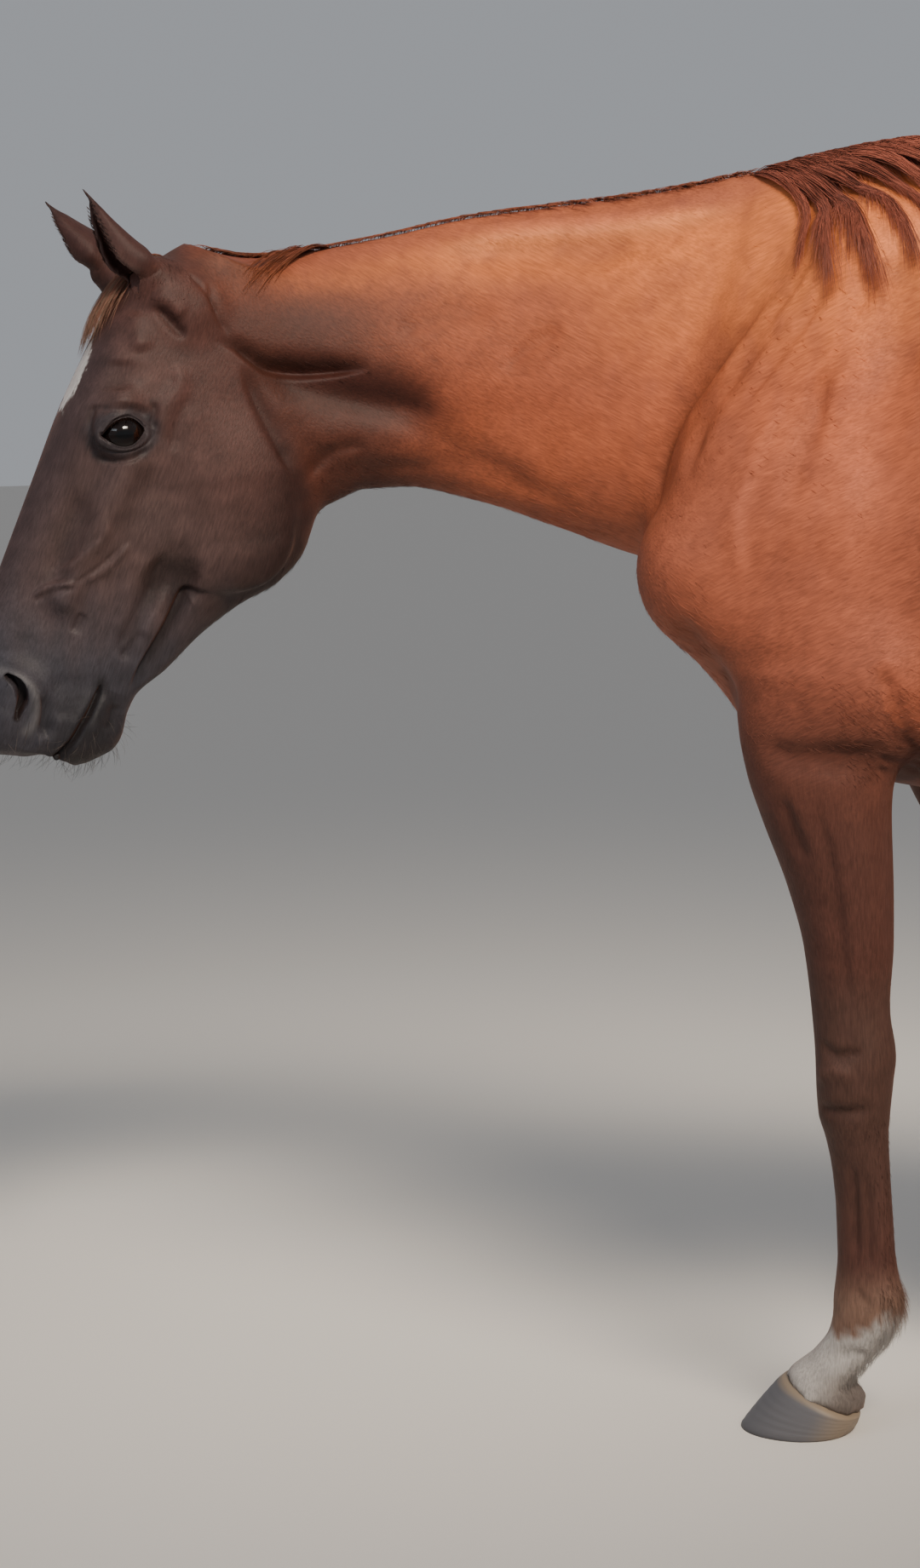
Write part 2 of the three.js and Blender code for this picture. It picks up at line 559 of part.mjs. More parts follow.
// ---------------------------------------------------------------- mane, forelock, tail
// how far the hair hangs on the near and off side of the crest, by length along the neck
const MANE_NEAR = curve([
  [-190, 25], [-120, 110], [-30, 150], [60, 120], [130, 45], [300, 20], [700, 22], [760, 14],
]);
const MANE_OFF = curve([[-190, 20], [-100, 60], [60, 110], [300, 135], [650, 130], [760, 60]]);
const bodyField = (x, y, z) => Math.min(trunkField(x, y, z), neckField(x, y, z));
const MANE_DEPTH = 9;
const maneLoops = spread(-185, 690, 77).map((s) => {
  const [x, y, a] = neckPoint(s);
  const o = [x, y, 1400];
  const outer = [];
  const inner = [];
  for (let j = 0; j <= 6; j += 1) {
    const k = j / 3 - 1;
    const drop = (k < 0 ? MANE_NEAR(s) : MANE_OFF(s)) * Math.abs(k);
    const half = 150;
    const ang = Math.atan2(drop * Math.sign(k) * 0.9, half);
    const d = [Math.sin(ang) * -Math.sin(a), Math.sin(ang) * Math.cos(a), Math.cos(ang)];
    const p = cast(bodyField, o, d, 420);
    const lift = MANE_DEPTH * (1.15 - 0.35 * Math.abs(k));
    outer.push([0, 1, 2].map((i) => p[i] + d[i] * lift));
    inner.push([0, 1, 2].map((i) => p[i] - d[i] * 18));
  }
  return [...outer, ...inner.reverse()];
});
const mane = lessBy(HAIR_CUT, loft(maneLoops), trunk, neckWhole, headWhole, earLeft, earRight);

const lockLoops = [-16, 4, 28, 54, 78, 98, 112].map((t, i) => {
  const w = [20, 30, 30, 26, 20, 13, 5][i];
  const lift = [4, 13, 14, 12, 10, 8, 5][i];
  const outer = [];
  const inner = [];
  for (let j = 0; j <= 4; j += 1) {
    const l = w * (j / 2 - 1);
    const d = headFront;
    const p = cast(headField, headPoint(Math.max(t, 4), -60, l), d, 200);
    const round = 1 - 0.7 * Math.abs(j / 2 - 1) ** 2;
    const shift = headPoint(Math.min(t - 4, 0), 0, 0).map((v, k) => v - headPoint(0, 0, 0)[k]);
    outer.push([0, 1, 2].map((k) => p[k] + d[k] * lift * round + shift[k]));
    inner.push([0, 1, 2].map((k) => p[k] - d[k] * 8 + shift[k]));
  }
  return [...outer, ...inner.reverse()];
});
const forelock = lessBy(HAIR_CUT, loft(lockLoops), headWhole, neckWhole, earLeft, earRight, mane);

// hanging tail: height, middle, half length, half width
const TAIL = [[1478, 1392, 24, 30], [1462, 1418, 34, 36], [1425, 1440, 34, 40], [1370, 1455, 34, 46],
  [1290, 1466, 38, 54], [1190, 1474, 44, 62], [1080, 1480, 50, 68], [960, 1486, 54, 70],
  [840, 1490, 54, 66], [730, 1494, 48, 56], [640, 1496, 38, 42], [570, 1498, 24, 26], [520, 1500, 8, 9]];
const tail = minus(loft(TAIL.map(([z, x, a, b]) => Array.from({ length: 12 }, (_, j) => {
  const q = 2 * Math.PI * j / 12;
  return [x + Math.cos(q) * a, Math.sin(q) * b, z];
}))), trunk, ...legParts.filter(([n]) => n.includes('hind')).map(([, g]) => g));

// ---------------------------------------------------------------- the named nodes
const look = (hex, roughness) => new THREE.MeshStandardMaterial({ color: hex, roughness, metalness: 0 });
const COAT = look(0x8a4a2c, 0.6);
const LEG_COAT = look(0x5d3a28, 0.62);
const EAR_COAT = look(0x7d452c, 0.65);
const HORN = look(0xb3a594, 0.5);
const EYE = look(0x17100c, 0.08);
const HAIR = look(0x5c2a1a, 0.6);

const group = new THREE.Group();
const parts = [
  ['trunk', trunk, COAT], ['neck', neck, COAT], ['head', head, COAT],
  ['eye_left', eyes[0], EYE], ['eye_right', eyes[1], EYE],
  ['ear_left', earLeft, EAR_COAT], ['ear_right', earRight, EAR_COAT],
  ...legParts.map(([name, geo]) => [name, geo,
    name.startsWith('hoof') ? HORN : name.startsWith('lower') ? LEG_COAT : COAT]),
  ['mane', mane, HAIR], ['forelock', forelock, HAIR], ['tail', tail, HAIR],
];
const box = new THREE.Box3();
for (const [, geo] of parts) {
  geo.computeBoundingBox();
  box.union(geo.boundingBox);
}
const mid = box.getCenter(new THREE.Vector3());
for (const [name, geo, material] of parts) {
  geo.translate(-mid.x, -mid.y, -box.min.z);
  geo.computeVertexNormals();
  const mesh = new THREE.Mesh(geo, material);
  mesh.name = name;
  group.add(mesh);
}
export default group;
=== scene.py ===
import bpy
import bmesh
import json
import math
import numpy as np
from mathutils import Matrix, Vector
from mathutils.bvhtree import BVHTree
from mathutils.kdtree import KDTree

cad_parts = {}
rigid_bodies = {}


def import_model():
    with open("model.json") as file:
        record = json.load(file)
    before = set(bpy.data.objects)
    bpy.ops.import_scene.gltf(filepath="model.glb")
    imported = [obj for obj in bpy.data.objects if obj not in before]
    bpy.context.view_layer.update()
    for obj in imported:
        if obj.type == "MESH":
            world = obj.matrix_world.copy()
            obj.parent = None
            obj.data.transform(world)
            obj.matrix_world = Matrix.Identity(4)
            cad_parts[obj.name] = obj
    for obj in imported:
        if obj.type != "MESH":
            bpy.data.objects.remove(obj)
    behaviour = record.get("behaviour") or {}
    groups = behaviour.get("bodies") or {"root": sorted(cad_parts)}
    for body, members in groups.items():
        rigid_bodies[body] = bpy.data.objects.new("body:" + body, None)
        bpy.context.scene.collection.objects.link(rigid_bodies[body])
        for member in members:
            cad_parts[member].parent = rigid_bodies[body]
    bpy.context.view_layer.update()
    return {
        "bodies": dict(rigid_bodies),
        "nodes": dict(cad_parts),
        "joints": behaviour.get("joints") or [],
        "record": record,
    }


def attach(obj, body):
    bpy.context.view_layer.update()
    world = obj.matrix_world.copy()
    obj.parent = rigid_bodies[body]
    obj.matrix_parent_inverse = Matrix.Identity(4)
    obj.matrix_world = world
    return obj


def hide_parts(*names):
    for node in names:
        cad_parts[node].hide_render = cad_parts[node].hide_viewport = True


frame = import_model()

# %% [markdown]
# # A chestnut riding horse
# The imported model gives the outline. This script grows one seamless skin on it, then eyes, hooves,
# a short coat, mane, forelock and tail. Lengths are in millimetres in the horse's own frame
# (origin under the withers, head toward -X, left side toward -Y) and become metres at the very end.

ORIGIN = np.array([271.62, -94.34, 14.0])   # the shared origin, seen from the horse's frame
rng = np.random.default_rng(7)


def to_world(p):
    return (np.asarray(p, float) - ORIGIN) / 1000.0


def to_horse(p):
    return np.asarray(p, float) * 1000.0 + ORIGIN


def smooth(a, b, v):
    """0 at a, 1 at b and a soft step between them; a may be the larger one."""
    t = np.clip((v - a) / (b - a), 0, 1)
    return t * t * (3 - 2 * t)


def unit(v):
    return v / np.maximum(np.linalg.norm(v, axis=-1, keepdims=True), 1e-9)


# %% [markdown]
# ## The body as a field
# Every part is a loft: at each station along an axis a section gives how low and high the body
# reaches, how wide it is, where it is widest and how square it is above and below that line.
# The value is close to a distance in millimetres, below zero inside. Muscles are tapered capsules.
# A smooth minimum melts all of it into one surface with no seams.

# %% Field tools
CURVE_SAMPLES = 800
LEAST_SLOPE = 0.002                         # keeps far values of a section finite


def curve(rows):
    """A smooth curve through the rows of (station, value), kept as a dense table."""
    x = np.array([r[0] for r in rows], float)
    y = np.array([r[1] for r in rows], float)
    d = np.diff(y) / np.diff(x)
    m = np.zeros_like(y)
    m[0], m[-1] = d[0], d[-1]
    same = d[:-1] * d[1:] > 0
    m[1:-1][same] = (2 * d[:-1] * d[1:])[same] / (d[:-1] + d[1:])[same]
    s = np.linspace(x[0], x[-1], CURVE_SAMPLES)
    i = np.clip(np.searchsorted(x, s, "right") - 1, 0, len(x) - 2)
    h = x[i + 1] - x[i]
    t = (s - x[i]) / h
    v = ((2 * t**3 - 3 * t**2 + 1) * y[i] + (t**3 - 2 * t**2 + t) * h * m[i]
         + (3 * t**2 - 2 * t**3) * y[i + 1] + (t**3 - t**2) * h * m[i + 1])
    return lambda q: np.interp(q, s, v)


def oval(a, b, ra, rb, k):
    """About the distance to an oval of half sizes ra and rb and squareness k."""
    a, b = np.abs(a / ra) + 1e-6, np.abs(b / rb) + 1e-6
    g = (a**k + b**k) ** (1 / k)
    slope = np.hypot(g ** (1 - k) * a ** (k - 1) / ra, g ** (1 - k) * b ** (k - 1) / rb)
    return (g - 1) / np.maximum(slope, LEAST_SLOPE)


def capped(d, over):
    """Closes a loft's distance beyond its end, over millimetres past it."""
    return np.where(over > 0, np.hypot(np.maximum(d, 0), over), d)


def sections(rows):
    """A loft through rows of: station, lowest, highest, half width, share of the height at which it
    is widest, squareness below that and above it."""
    cols = [curve([(r[0], r[k]) for r in rows]) for k in range(1, 7)]
    first, last = rows[0][0], rows[-1][0]

    def field(s, l, h):
        q = np.clip(s, first, last)
        lo, hi, wide, at, pl, ph = [c(q) for c in cols]
        mid = lo + (hi - lo) * at
        up = h > mid
        size = np.where(up, hi - mid, mid - lo)
        return capped(oval(l, h - mid, wide, size, np.where(up, ph, pl)), np.abs(s - q))
    return field


def muscle(a, b, ra, rb, flat=1.0):
    """A capsule from a to b with end radii ra and rb, squeezed sideways by flat."""
    a, b = np.array(a, float), np.array(b, float)
    s = b - a

    def field(p):
        q = p - a
        t = np.clip(q @ s / (s @ s), 0, 1)
        d = q - t[:, None] * s
        d[:, 1] /= flat
        return (np.linalg.norm(d, axis=1) - (ra + (rb - ra) * t)) * min(1, flat**0.5)
    return field


def blend(a, b, k):
    """The smaller of two distances, with the corner rounded over k millimetres."""
    h = np.maximum(k - np.abs(a - b), 0) / k
    return np.minimum(a, b) - h * h * k * 0.25


# %% [markdown]
# ## Neck and head frames
# The neck runs forward and bends to the horse's left. The head hangs from the poll.
# Head coordinates: t down the face, n forward of the axis, l toward the horse's right.

# %% Frames
NECK_ROOT_X, NECK_BEND, BEND_OVER = -50.0, 38.0, 600.0
POLL_S, POLL_Z, HEAD_PITCH = 769.0, 1542.0, math.radians(66.2)
LINE_STEP = 5.0
LINE_S = np.arange(0, 1205, LINE_STEP)


def bend_at(s):
    return np.radians(NECK_BEND) * np.clip(s / BEND_OVER, 0, 1) ** 1.2


LINE_A = bend_at(LINE_S)
HALF_A = bend_at(LINE_S + LINE_STEP / 2)
LINE_X = NECK_ROOT_X - np.concatenate([[0], np.cumsum(np.cos(HALF_A) * LINE_STEP)[:-1]])
LINE_Y = -np.concatenate([[0], np.cumsum(np.sin(HALF_A) * LINE_STEP)[:-1]])


def neck_point(s):
    """x, y and turn of the neck's middle line at a length s from its root."""
    s = np.asarray(s, float)
    x = np.where(s <= 0, NECK_ROOT_X - s, np.interp(s, LINE_S, LINE_X))
    y = np.where(s <= 0, 0, np.interp(s, LINE_S, LINE_Y))
    return x, y, np.where(s <= 0, 0, np.interp(s, LINE_S, LINE_A))


def neck_coords(x, y):
    """Place along the neck's line and sideways from it."""
    s = NECK_ROOT_X - x
    for _ in range(5):
        cx, cy, a = neck_point(s)
        s = s - (x - cx) * np.cos(a) - (y - cy) * np.sin(a)
    cx, cy, a = neck_point(s)
    return s, -(x - cx) * np.sin(a) + (y - cy) * np.cos(a)


POLL_X, POLL_Y, HEAD_YAW = [float(v) for v in neck_point(POLL_S)]
FORE = np.array([-math.cos(HEAD_YAW), -math.sin(HEAD_YAW), 0])
SIDE = np.array([-math.sin(HEAD_YAW), math.cos(HEAD_YAW), 0])
UP = np.array([0, 0, 1.0])
POLL = np.array([POLL_X, POLL_Y, POLL_Z])
AXIS = FORE * math.cos(HEAD_PITCH) - UP * math.sin(HEAD_PITCH)
FRONT = FORE * math.sin(HEAD_PITCH) + UP * math.cos(HEAD_PITCH)


def head_point(t, n, l):
    t, n, l = np.broadcast_arrays(*[np.asarray(v, float) for v in (t, n, l)])
    return POLL + t[..., None] * AXIS + n[..., None] * FRONT + l[..., None] * SIDE


HEAD_MIDDLE = head_point(310, -40, 0)


def head_coords(p):
    q = p - POLL
    return q @ AXIS, q @ FRONT, q @ SIDE


# %% [markdown]
# ## Outlines
# The same named outlines as the solid model, for a horse of about 1.62 m at the withers.

# %% Outlines
TRUNK = sections([
    (-160, 1020, 1320, 100, 0.45, 2.0, 2.0), (-110, 945, 1440, 160, 0.42, 2.0, 1.7),
    (-50, 884, 1564, 195, 0.42, 1.9, 1.45), (50, 838, 1606, 212, 0.42, 1.8, 1.35),
    (130, 824, 1623, 222, 0.42, 1.9, 1.3), (210, 815, 1632, 238, 0.42, 2.0, 1.35),
    (320, 808, 1608, 268, 0.43, 2.1, 1.5), (450, 806, 1560, 292, 0.45, 2.1, 1.75),
    (600, 818, 1526, 304, 0.47, 2.1, 2.0), (750, 842, 1518, 300, 0.49, 2.1, 2.1),
    (880, 880, 1534, 276, 0.52, 2.1, 2.1), (1000, 930, 1566, 262, 0.58, 2.0, 2.0),
    (1100, 985, 1588, 268, 0.60, 2.0, 1.9), (1180, 1030, 1586, 268, 0.55, 2.0, 1.9),
    (1270, 1060, 1560, 245, 0.50, 2.0, 1.9), (1350, 1090, 1510, 190, 0.50, 2.0, 1.9),
    (1395, 1140, 1462, 120, 0.50, 2.0, 2.0)])
NECK = sections([
    (-160, 1130, 1606, 118, 0.40, 2.0, 1.5), (0, 1085, 1606, 122, 0.38, 2.0, 1.5),
    (120, 1104, 1592, 116, 0.38, 2.0, 1.5), (200, 1126, 1584, 108, 0.39, 2.0, 1.5),
    (300, 1165, 1577, 99, 0.41, 2.0, 1.6), (400, 1202, 1568, 91, 0.43, 2.0, 1.7),
    (500, 1225, 1550, 85, 0.45, 2.0, 1.8), (550, 1224, 1542, 82, 0.46, 2.0, 1.85),
    (600, 1208, 1535, 79, 0.50, 2.0, 1.9), (700, 1230, 1527, 75, 0.54, 2.0, 2.1),
    (769, 1290, 1533, 66, 0.55, 2.0, 2.1), (830, 1330, 1495, 52, 0.55, 2.0, 2.1)])
HEAD = sections([
    (-6, -150, 2, 56, 0.60, 2.0, 2.2), (60, -190, 48, 72, 0.66, 2.0, 2.4),
    (110, -222, 66, 84, 0.72, 2.1, 2.6), (165, -256, 71, 93, 0.76, 2.2, 2.7),
    (205, -272, 74, 97, 0.76, 2.3, 2.7), (250, -282, 77, 95, 0.75, 2.4, 2.6),
    (300, -284, 78, 86, 0.70, 2.6, 2.2), (350, -268, 78, 80, 0.62, 2.7, 1.9),
    (400, -228, 78, 71, 0.58, 2.6, 1.8), (450, -197, 78, 61, 0.55, 2.4, 1.8),
    (510, -170, 78, 53, 0.52, 2.2, 1.9), (560, -144, 74, 51, 0.52, 2.2, 2.0),
    (600, -141, 64, 53, 0.53, 2.3, 2.1), (634, -128, 48, 49, 0.50, 2.3, 2.2),
    (664, -100, 22, 36, 0.50, 2.2, 2.2)])
FORE_LEG = [
    (14, -96, 51, 63), (28, -91, 58, 61), (50, -78, 66, 57), (80, -42, 57, 44), (97, -24, 70, 36),
    (121, 5, 90, 31), (150, 26, 113, 34), (173, 32, 125, 38), (192, 33, 127, 37), (220, 37, 121, 32),
    (250, 40, 117, 29), (305, 40, 115, 28), (360, 37, 113, 31), (400, 31, 112, 38), (433, 23, 115, 46),
    (470, 22, 120, 50), (505, 22, 125, 48), (560, 20, 120, 45), (645, 14, 128, 52), (720, -2, 131, 60),
    (806, -30, 133, 68), (869, -48, 141, 74), (925, -56, 155, 78), (985, -50, 150, 74)]
FORE_Y = curve([(0, 130), (450, 137), (700, 150), (880, 162), (1000, 158)])
HIND_LEG = [
    (14, 1178, 1312, 61), (28, 1184, 1318, 60), (50, 1198, 1328, 56), (80, 1226, 1326, 44),
    (97, 1243, 1336, 37), (125, 1268, 1360, 33), (155, 1288, 1388, 36), (182, 1294, 1400, 39),
    (215, 1300, 1392, 34), (250, 1304, 1385, 31), (330, 1303, 1384, 31), (390, 1299, 1387, 34),
    (430, 1290, 1396, 40), (470, 1276, 1404, 47), (515, 1262, 1418, 50), (555, 1250, 1432, 48),
    (590, 1235, 1444, 42), (618, 1218, 1440, 40), (660, 1182, 1420, 41), (710, 1130, 1390, 47),
    (765, 1078, 1366, 57), (830, 1020, 1362, 70), (900, 966, 1374, 84), (970, 932, 1388, 94),
    (1040, 952, 1396, 96), (1100, 990, 1390, 88), (1180, 1040, 1370, 66)]
HIND_Y = curve([(0, 130), (500, 138), (700, 148), (900, 163), (1050, 158), (1180, 150)])
TRUNK_MUSCLES = [
    (muscle((110, 96, 1466), (-92, 138, 1120), 88, 90, 0.8), 70),      # blade of the shoulder
    (muscle((-84, 140, 1100), (110, 172, 960), 86, 76, 0.9), 60),      # upper arm
    (muscle((60, 158, 1150), (120, 176, 1000), 92, 72, 0.75), 70),     # triceps
    (muscle((-108, 70, 1120), (-8, 90, 945), 72, 66), 50),             # breast
    (muscle((1200, 152, 1260), (1030, 168, 1035), 122, 92, 0.9), 80),  # thigh
    (muscle((1190, 160, 1180), (1190, 160, 1080), 112, 96, 0.95), 80),
    (muscle((1310, 108, 1400), (1306, 148, 1070), 92, 88), 70),        # hamstrings
    (muscle((1010, 190, 1440), (1080, 185, 1420), 62, 66), 80),        # point of the hip
]
HEAD_MASSES = [
    ((250, 66, -150), (320, 62, -190), 78, 66, 0.36, 22),   # round cheek
    ((215, 92, 14), (262, 92, 22), 15, 14, 1, 24),          # rim over the eye
    ((285, 84, -22), (470, 54, -8), 13, 10, 1, 30),         # crest of the face
    ((598, 30, 4), (628, 30, 8), 31, 28, 1, 26),            # nostril wing
    ((660, 0, 4), (656, 0, -24), 30, 25, 1.5, 30),          # upper lip
    ((618, 0, -114), (638, 0, -100), 28, 24, 1.4, 24),      # chin and lower lip
]
HEAD_MASSES = [(muscle(a, b, ra, rb, flat), k) for a, b, ra, rb, flat, k in HEAD_MASSES]


LEG_SQUARE = 2.12
TOE_TURN_TOP = 420                          # the toe's turn fades out up to this height


class Leg:
    """A vertical loft; rows of: height, front, back, half width. setting moves it forward or back."""

    def __init__(self, rows, middle, side, setting, toe):
        self.lo = curve([(r[0], r[1]) for r in rows])
        self.hi = curve([(r[0], r[2]) for r in rows])
        self.wide = curve([(r[0], r[3]) for r in rows])
        self.top = rows[-1][0]
        self.set = curve(setting)
        self.middle, self.side, self.toe = middle, side, math.radians(toe)

    def centre(self, z):
        return (self.lo(z) + self.hi(z)) / 2 + self.set(z), self.side * self.middle(z)

    def turn(self, z):
        return self.toe * np.clip(1 - z / TOE_TURN_TOP, 0, 1) * self.side

    def from_centre(self, p):
        cx, cy = self.centre(p[:, 2])
        return p[:, 0] - cx, p[:, 1] - cy

    def within(self, p, reach):
        return np.hypot(*self.from_centre(p)) < reach

    def local(self, p):
        """Forward-back and sideways place in the leg, with the turn of the toe taken out."""
        a = -self.turn(p[:, 2])
        dx, dy = self.from_centre(p)
        return dx * np.cos(a) - dy * np.sin(a), dx * np.sin(a) + dy * np.cos(a)

    def field(self, p):
        z = p[:, 2]
        u, v = self.local(p)
        d = oval(u, v, (self.hi(z) - self.lo(z)) / 2, self.wide(z), LEG_SQUARE)
        return capped(d, np.maximum(z - self.top, 0))


LEGS = {
    "fore_left": Leg(FORE_LEG, FORE_Y, -1, [(0, 0), (1, 0)], 10),
    "fore_right": Leg(FORE_LEG, FORE_Y, 1, [(-50, 262), (470, 172), (800, 95), (1000, 60), (1200, 40)], 2),
    "hind_left": Leg(HIND_LEG, HIND_Y, -1, [(-50, 38), (600, 20), (1000, 0)], -4),
    "hind_right": Leg(HIND_LEG, HIND_Y, 1, [(-50, -95), (600, -45), (1000, -10)], -4),
}


def body_field(p):
    """Distance to the whole body; each part is worked out only for the points near it."""
    x, y, z = p[:, 0], p[:, 1], p[:, 2]
    d = TRUNK(x, y, z)
    q = p.copy()
    q[:, 1] = np.abs(q[:, 1])
    for f, k in TRUNK_MUSCLES:
        d = blend(d, f(q), k)
    fore = x < 260
    s, l = neck_coords(x[fore], y[fore])
    d[fore] = blend(d[fore], NECK(s, l, z[fore]), 46)
    near = np.linalg.norm(p - HEAD_MIDDLE, axis=1) < 620
    t, n, l = head_coords(p[near])
    e = HEAD(t, l, n)
    q = np.stack([t, np.abs(l), n], 1)
    for f, k in HEAD_MASSES:
        e = blend(e, f(q), k)
    d[near] = blend(d[near], e, 26)
    for leg in LEGS.values():
        dx, dy = leg.from_centre(p)
        near = (z < leg.top + 120) & (np.abs(dx) < 420) & (np.abs(dy) < 260)
        d[near] = blend(d[near], leg.field(p[near]), 34)
    return d


PROBE = 0.6                                 # step for the slope of a field
MOST_MOVE = 25.0                            # longest move of a point in one round


def slope_of(field, p):
    """The field's value and its slope at each point."""
    f = field(p)
    return f, np.stack([(field(p + PROBE * np.eye(3)[k]) - f) / PROBE for k in range(3)], 1)


def settle(field, p, level, rounds):
    """Moves points straight onto a level of a field."""
    for _ in range(rounds):
        f, g = slope_of(field, p)
        step = (f - level) / np.maximum((g * g).sum(1), 0.05)
        move = -step[:, None] * g
        size = np.linalg.norm(move, axis=1, keepdims=True)
        p = p + move * np.minimum(1, MOST_MOVE / np.maximum(size, 1e-6))
    return p


# %% [markdown]
# ## One skin
# Copies of the flesh nodes are swollen a little so that their thin cuts close. The head region is
# magnified three times before the voxel remesh and shrunk back after it, so that one even remesh
# gives fine faces on the head and coarser ones behind. Then every point settles on the field,
# inside the solids by the depth of the coat.

# %% Skin base
FLESH = [n for n in frame["nodes"] if not n.startswith(("hoof", "eye", "mane", "forelock", "tail"))]
EYES = {"eye_left": -1, "eye_right": 1}
COAT_DEPTH = 1.5
SWELL = 2.0
VOXEL = 13.0
MAGNIFY, MAGNIFY_R = 3.0, 430.0
WELD = 2e-5                                 # metres
LONG_EDGE = 0.02                            # metres


def warp(p, back=False):
    """Magnifies space round the head, or shrinks it back."""
    d = p - HEAD_MIDDLE
    r = np.linalg.norm(d, axis=1)
    extra = (MAGNIFY - 1) * MAGNIFY_R
    if back:
        new = np.where(r < MAGNIFY_R * MAGNIFY, r / MAGNIFY, r - extra)
    else:
        new = np.where(r < MAGNIFY_R, r * MAGNIFY, r + extra)
    return HEAD_MIDDLE + d * (new / np.maximum(r, 1e-6))[:, None]


def read(items, key, width=3, kind=np.float32):
    """One value, such as the place, of all vertices, edges or faces of a mesh, as rows of an array."""
    out = np.empty(len(items) * width, kind)
    items.foreach_get(key, out)
    return out.reshape(-1, width)


def coords(me):
    return read(me.vertices, "co").astype(float)


def normals_of(me):
    return read(me.vertices, "normal").astype(float)


def edges_of(me):
    return read(me.edges, "vertices", 2, np.int32)


def set_coords(me, p):
    me.vertices.foreach_set("co", np.ascontiguousarray(p, dtype=np.float32).ravel())
    me.update()


def tube_faces(rings, around, inward=False):
    """Quads between neighbouring rings of points; each ring is closed."""
    faces = []
    for i in range(rings - 1):
        for j in range(around):
            k = (j + 1) % around
            a, b, c, d = i * around + j, i * around + k, (i + 1) * around + k, (i + 1) * around + j
            faces.append((a, d, c, b) if inward else (a, b, c, d))
    return faces


def mesh_object(name, verts, faces):
    me = bpy.data.meshes.new(name)
    me.from_pydata([tuple(v) for v in np.asarray(verts, float)], [], [tuple(map(int, f)) for f in faces])
    me.update()
    ob = bpy.data.objects.new(name, me)
    bpy.context.scene.collection.objects.link(ob)
    return ob


def joined(names):
    """Points and faces of swollen copies of these nodes, with long edges split once."""
    verts, faces, base = [], [], 0
    for name in names:
        me = frame["nodes"][name].data
        bm = bmesh.new()
        bm.from_mesh(me)
        bmesh.ops.remove_doubles(bm, verts=bm.verts, dist=WELD)
        long_edges = [e for e in bm.edges if e.calc_length() > LONG_EDGE]
        bmesh.ops.subdivide_edges(bm, edges=long_edges, cuts=1, use_grid_fill=True)
        bm.normal_update()
        bm.verts.index_update()
        verts += [to_horse(v.co) + SWELL * np.array(v.normal) for v in bm.verts]
        faces += [[v.index + base for v in f.verts] for f in bm.faces]
        base += len(bm.verts)
        bm.free()
    return np.array(verts), faces


# %% [markdown]
# ## Ears
# Each ear is a folded sheet about 7 mm thick: a loop that is closed at the root and opens into a
# slot facing forward and a little outward, then narrows to the tip. Its own line runs from base to
# tip, and three curves say how far it stands forward of that line, how deep and how wide it is.

# %% Ears
EAR_FORWARD = curve([(-0.15, 0), (0.2, 4), (0.35, 11), (0.5, 15), (0.7, 11), (0.87, 5), (1, -1)])
EAR_DEEP = curve([(-0.15, 38), (0.1, 35), (0.22, 29), (0.35, 23), (0.5, 20), (0.7, 12), (0.87, 6), (1, 3)])
EAR_WIDE = curve([(-0.15, 34), (0.15, 36), (0.35, 35), (0.55, 29), (0.75, 19), (0.9, 10), (1, 3.5)])
EAR_OPEN = curve([(-0.15, 176), (0.2, 172), (0.3, 150), (0.45, 138), (0.8, 132), (1, 120)])
# base, tip, side, degrees turned outward, share of the forward curve
EARS = {"left": ((64, -6, -56), (-14, 147, -62), -1, 16, 1.0),
        "right": ((64, 42, 50), (6, 176, 60), 1, 22, 0.1)}
EAR_WALL = 6.5


def ear_frame(base, tip, side, turn, share):
    """Root, line, sideways and facing directions, length, and share of the forward curve."""
    b, e = head_point(*base), head_point(*tip)
    axis = e - b
    length = np.linalg.norm(axis)
    axis = axis / length
    out = SIDE * side
    front = unit(np.cross(out, axis))
    if front @ FORE < 0:
        front = -front
    look = front * math.cos(math.radians(turn)) + out * math.sin(math.radians(turn))
    look = unit(look - axis * (look @ axis))
    return b, axis, unit(np.cross(axis, look)), look, length, share


EAR_FRAMES = {name: ear_frame(*spec) for name, spec in EARS.items()}


def ear_solid(name, rows=40, arc=34, cap=5):
    """Rings of an open sheet: outer arc, rounded edge, inner arc back, rounded edge."""
    b, axis, across, look, length, share = EAR_FRAMES[name]
    verts = []
    for q in np.linspace(-0.12, 1.0, rows):
        deep, wide, half = float(EAR_DEEP(q)), float(EAR_WIDE(q)), math.radians(float(EAR_OPEN(q)))
        wall = min(EAR_WALL, 1.3 * wide) * (1 - 0.35 * float(smooth(0.6, 1, q)))
        front = deep / max(-math.cos(half), 0.4)

        def at(phi, inset):
            radius = (deep if math.cos(phi) > 0 else front) - inset
            ahead = share * float(EAR_FORWARD(q)) - max(radius, 0.4) * math.cos(phi)
            return b + axis * q * length + look * ahead + across * max(wide - inset, 0.4) * math.sin(phi)
        loop = [at(phi, 0) for phi in np.linspace(-half, half, arc)]
        loop += [at(half + wall * 0.5 * math.sin(math.pi * k / (cap + 1)) / wide, wall * k / (cap + 1))
                 for k in range(1, cap + 1)]
        loop += [at(phi, wall) for phi in np.linspace(half, -half, arc)]
        loop += [at(-half - wall * 0.5 * math.sin(math.pi * k / (cap + 1)) / wide,
                    wall * (1 - k / (cap + 1))) for k in range(1, cap + 1)]
        verts += loop
    m = 2 * (arc + cap)
    faces = tube_faces(rows, m)
    for base, flip in ((0, -1), ((rows - 1) * m, 1)):
        for j in range(arc - 1):
            inner = base + 2 * arc + cap - 1 - j
            faces.append((base + j, base + j + 1, inner - 1, inner)[::flip])
        for lo, hi in ((arc - 1, arc + cap), (2 * arc + cap - 1, m)):
            faces.append(tuple(base + k % m for k in range(lo, hi + 1))[::flip])
    return np.array(verts), faces


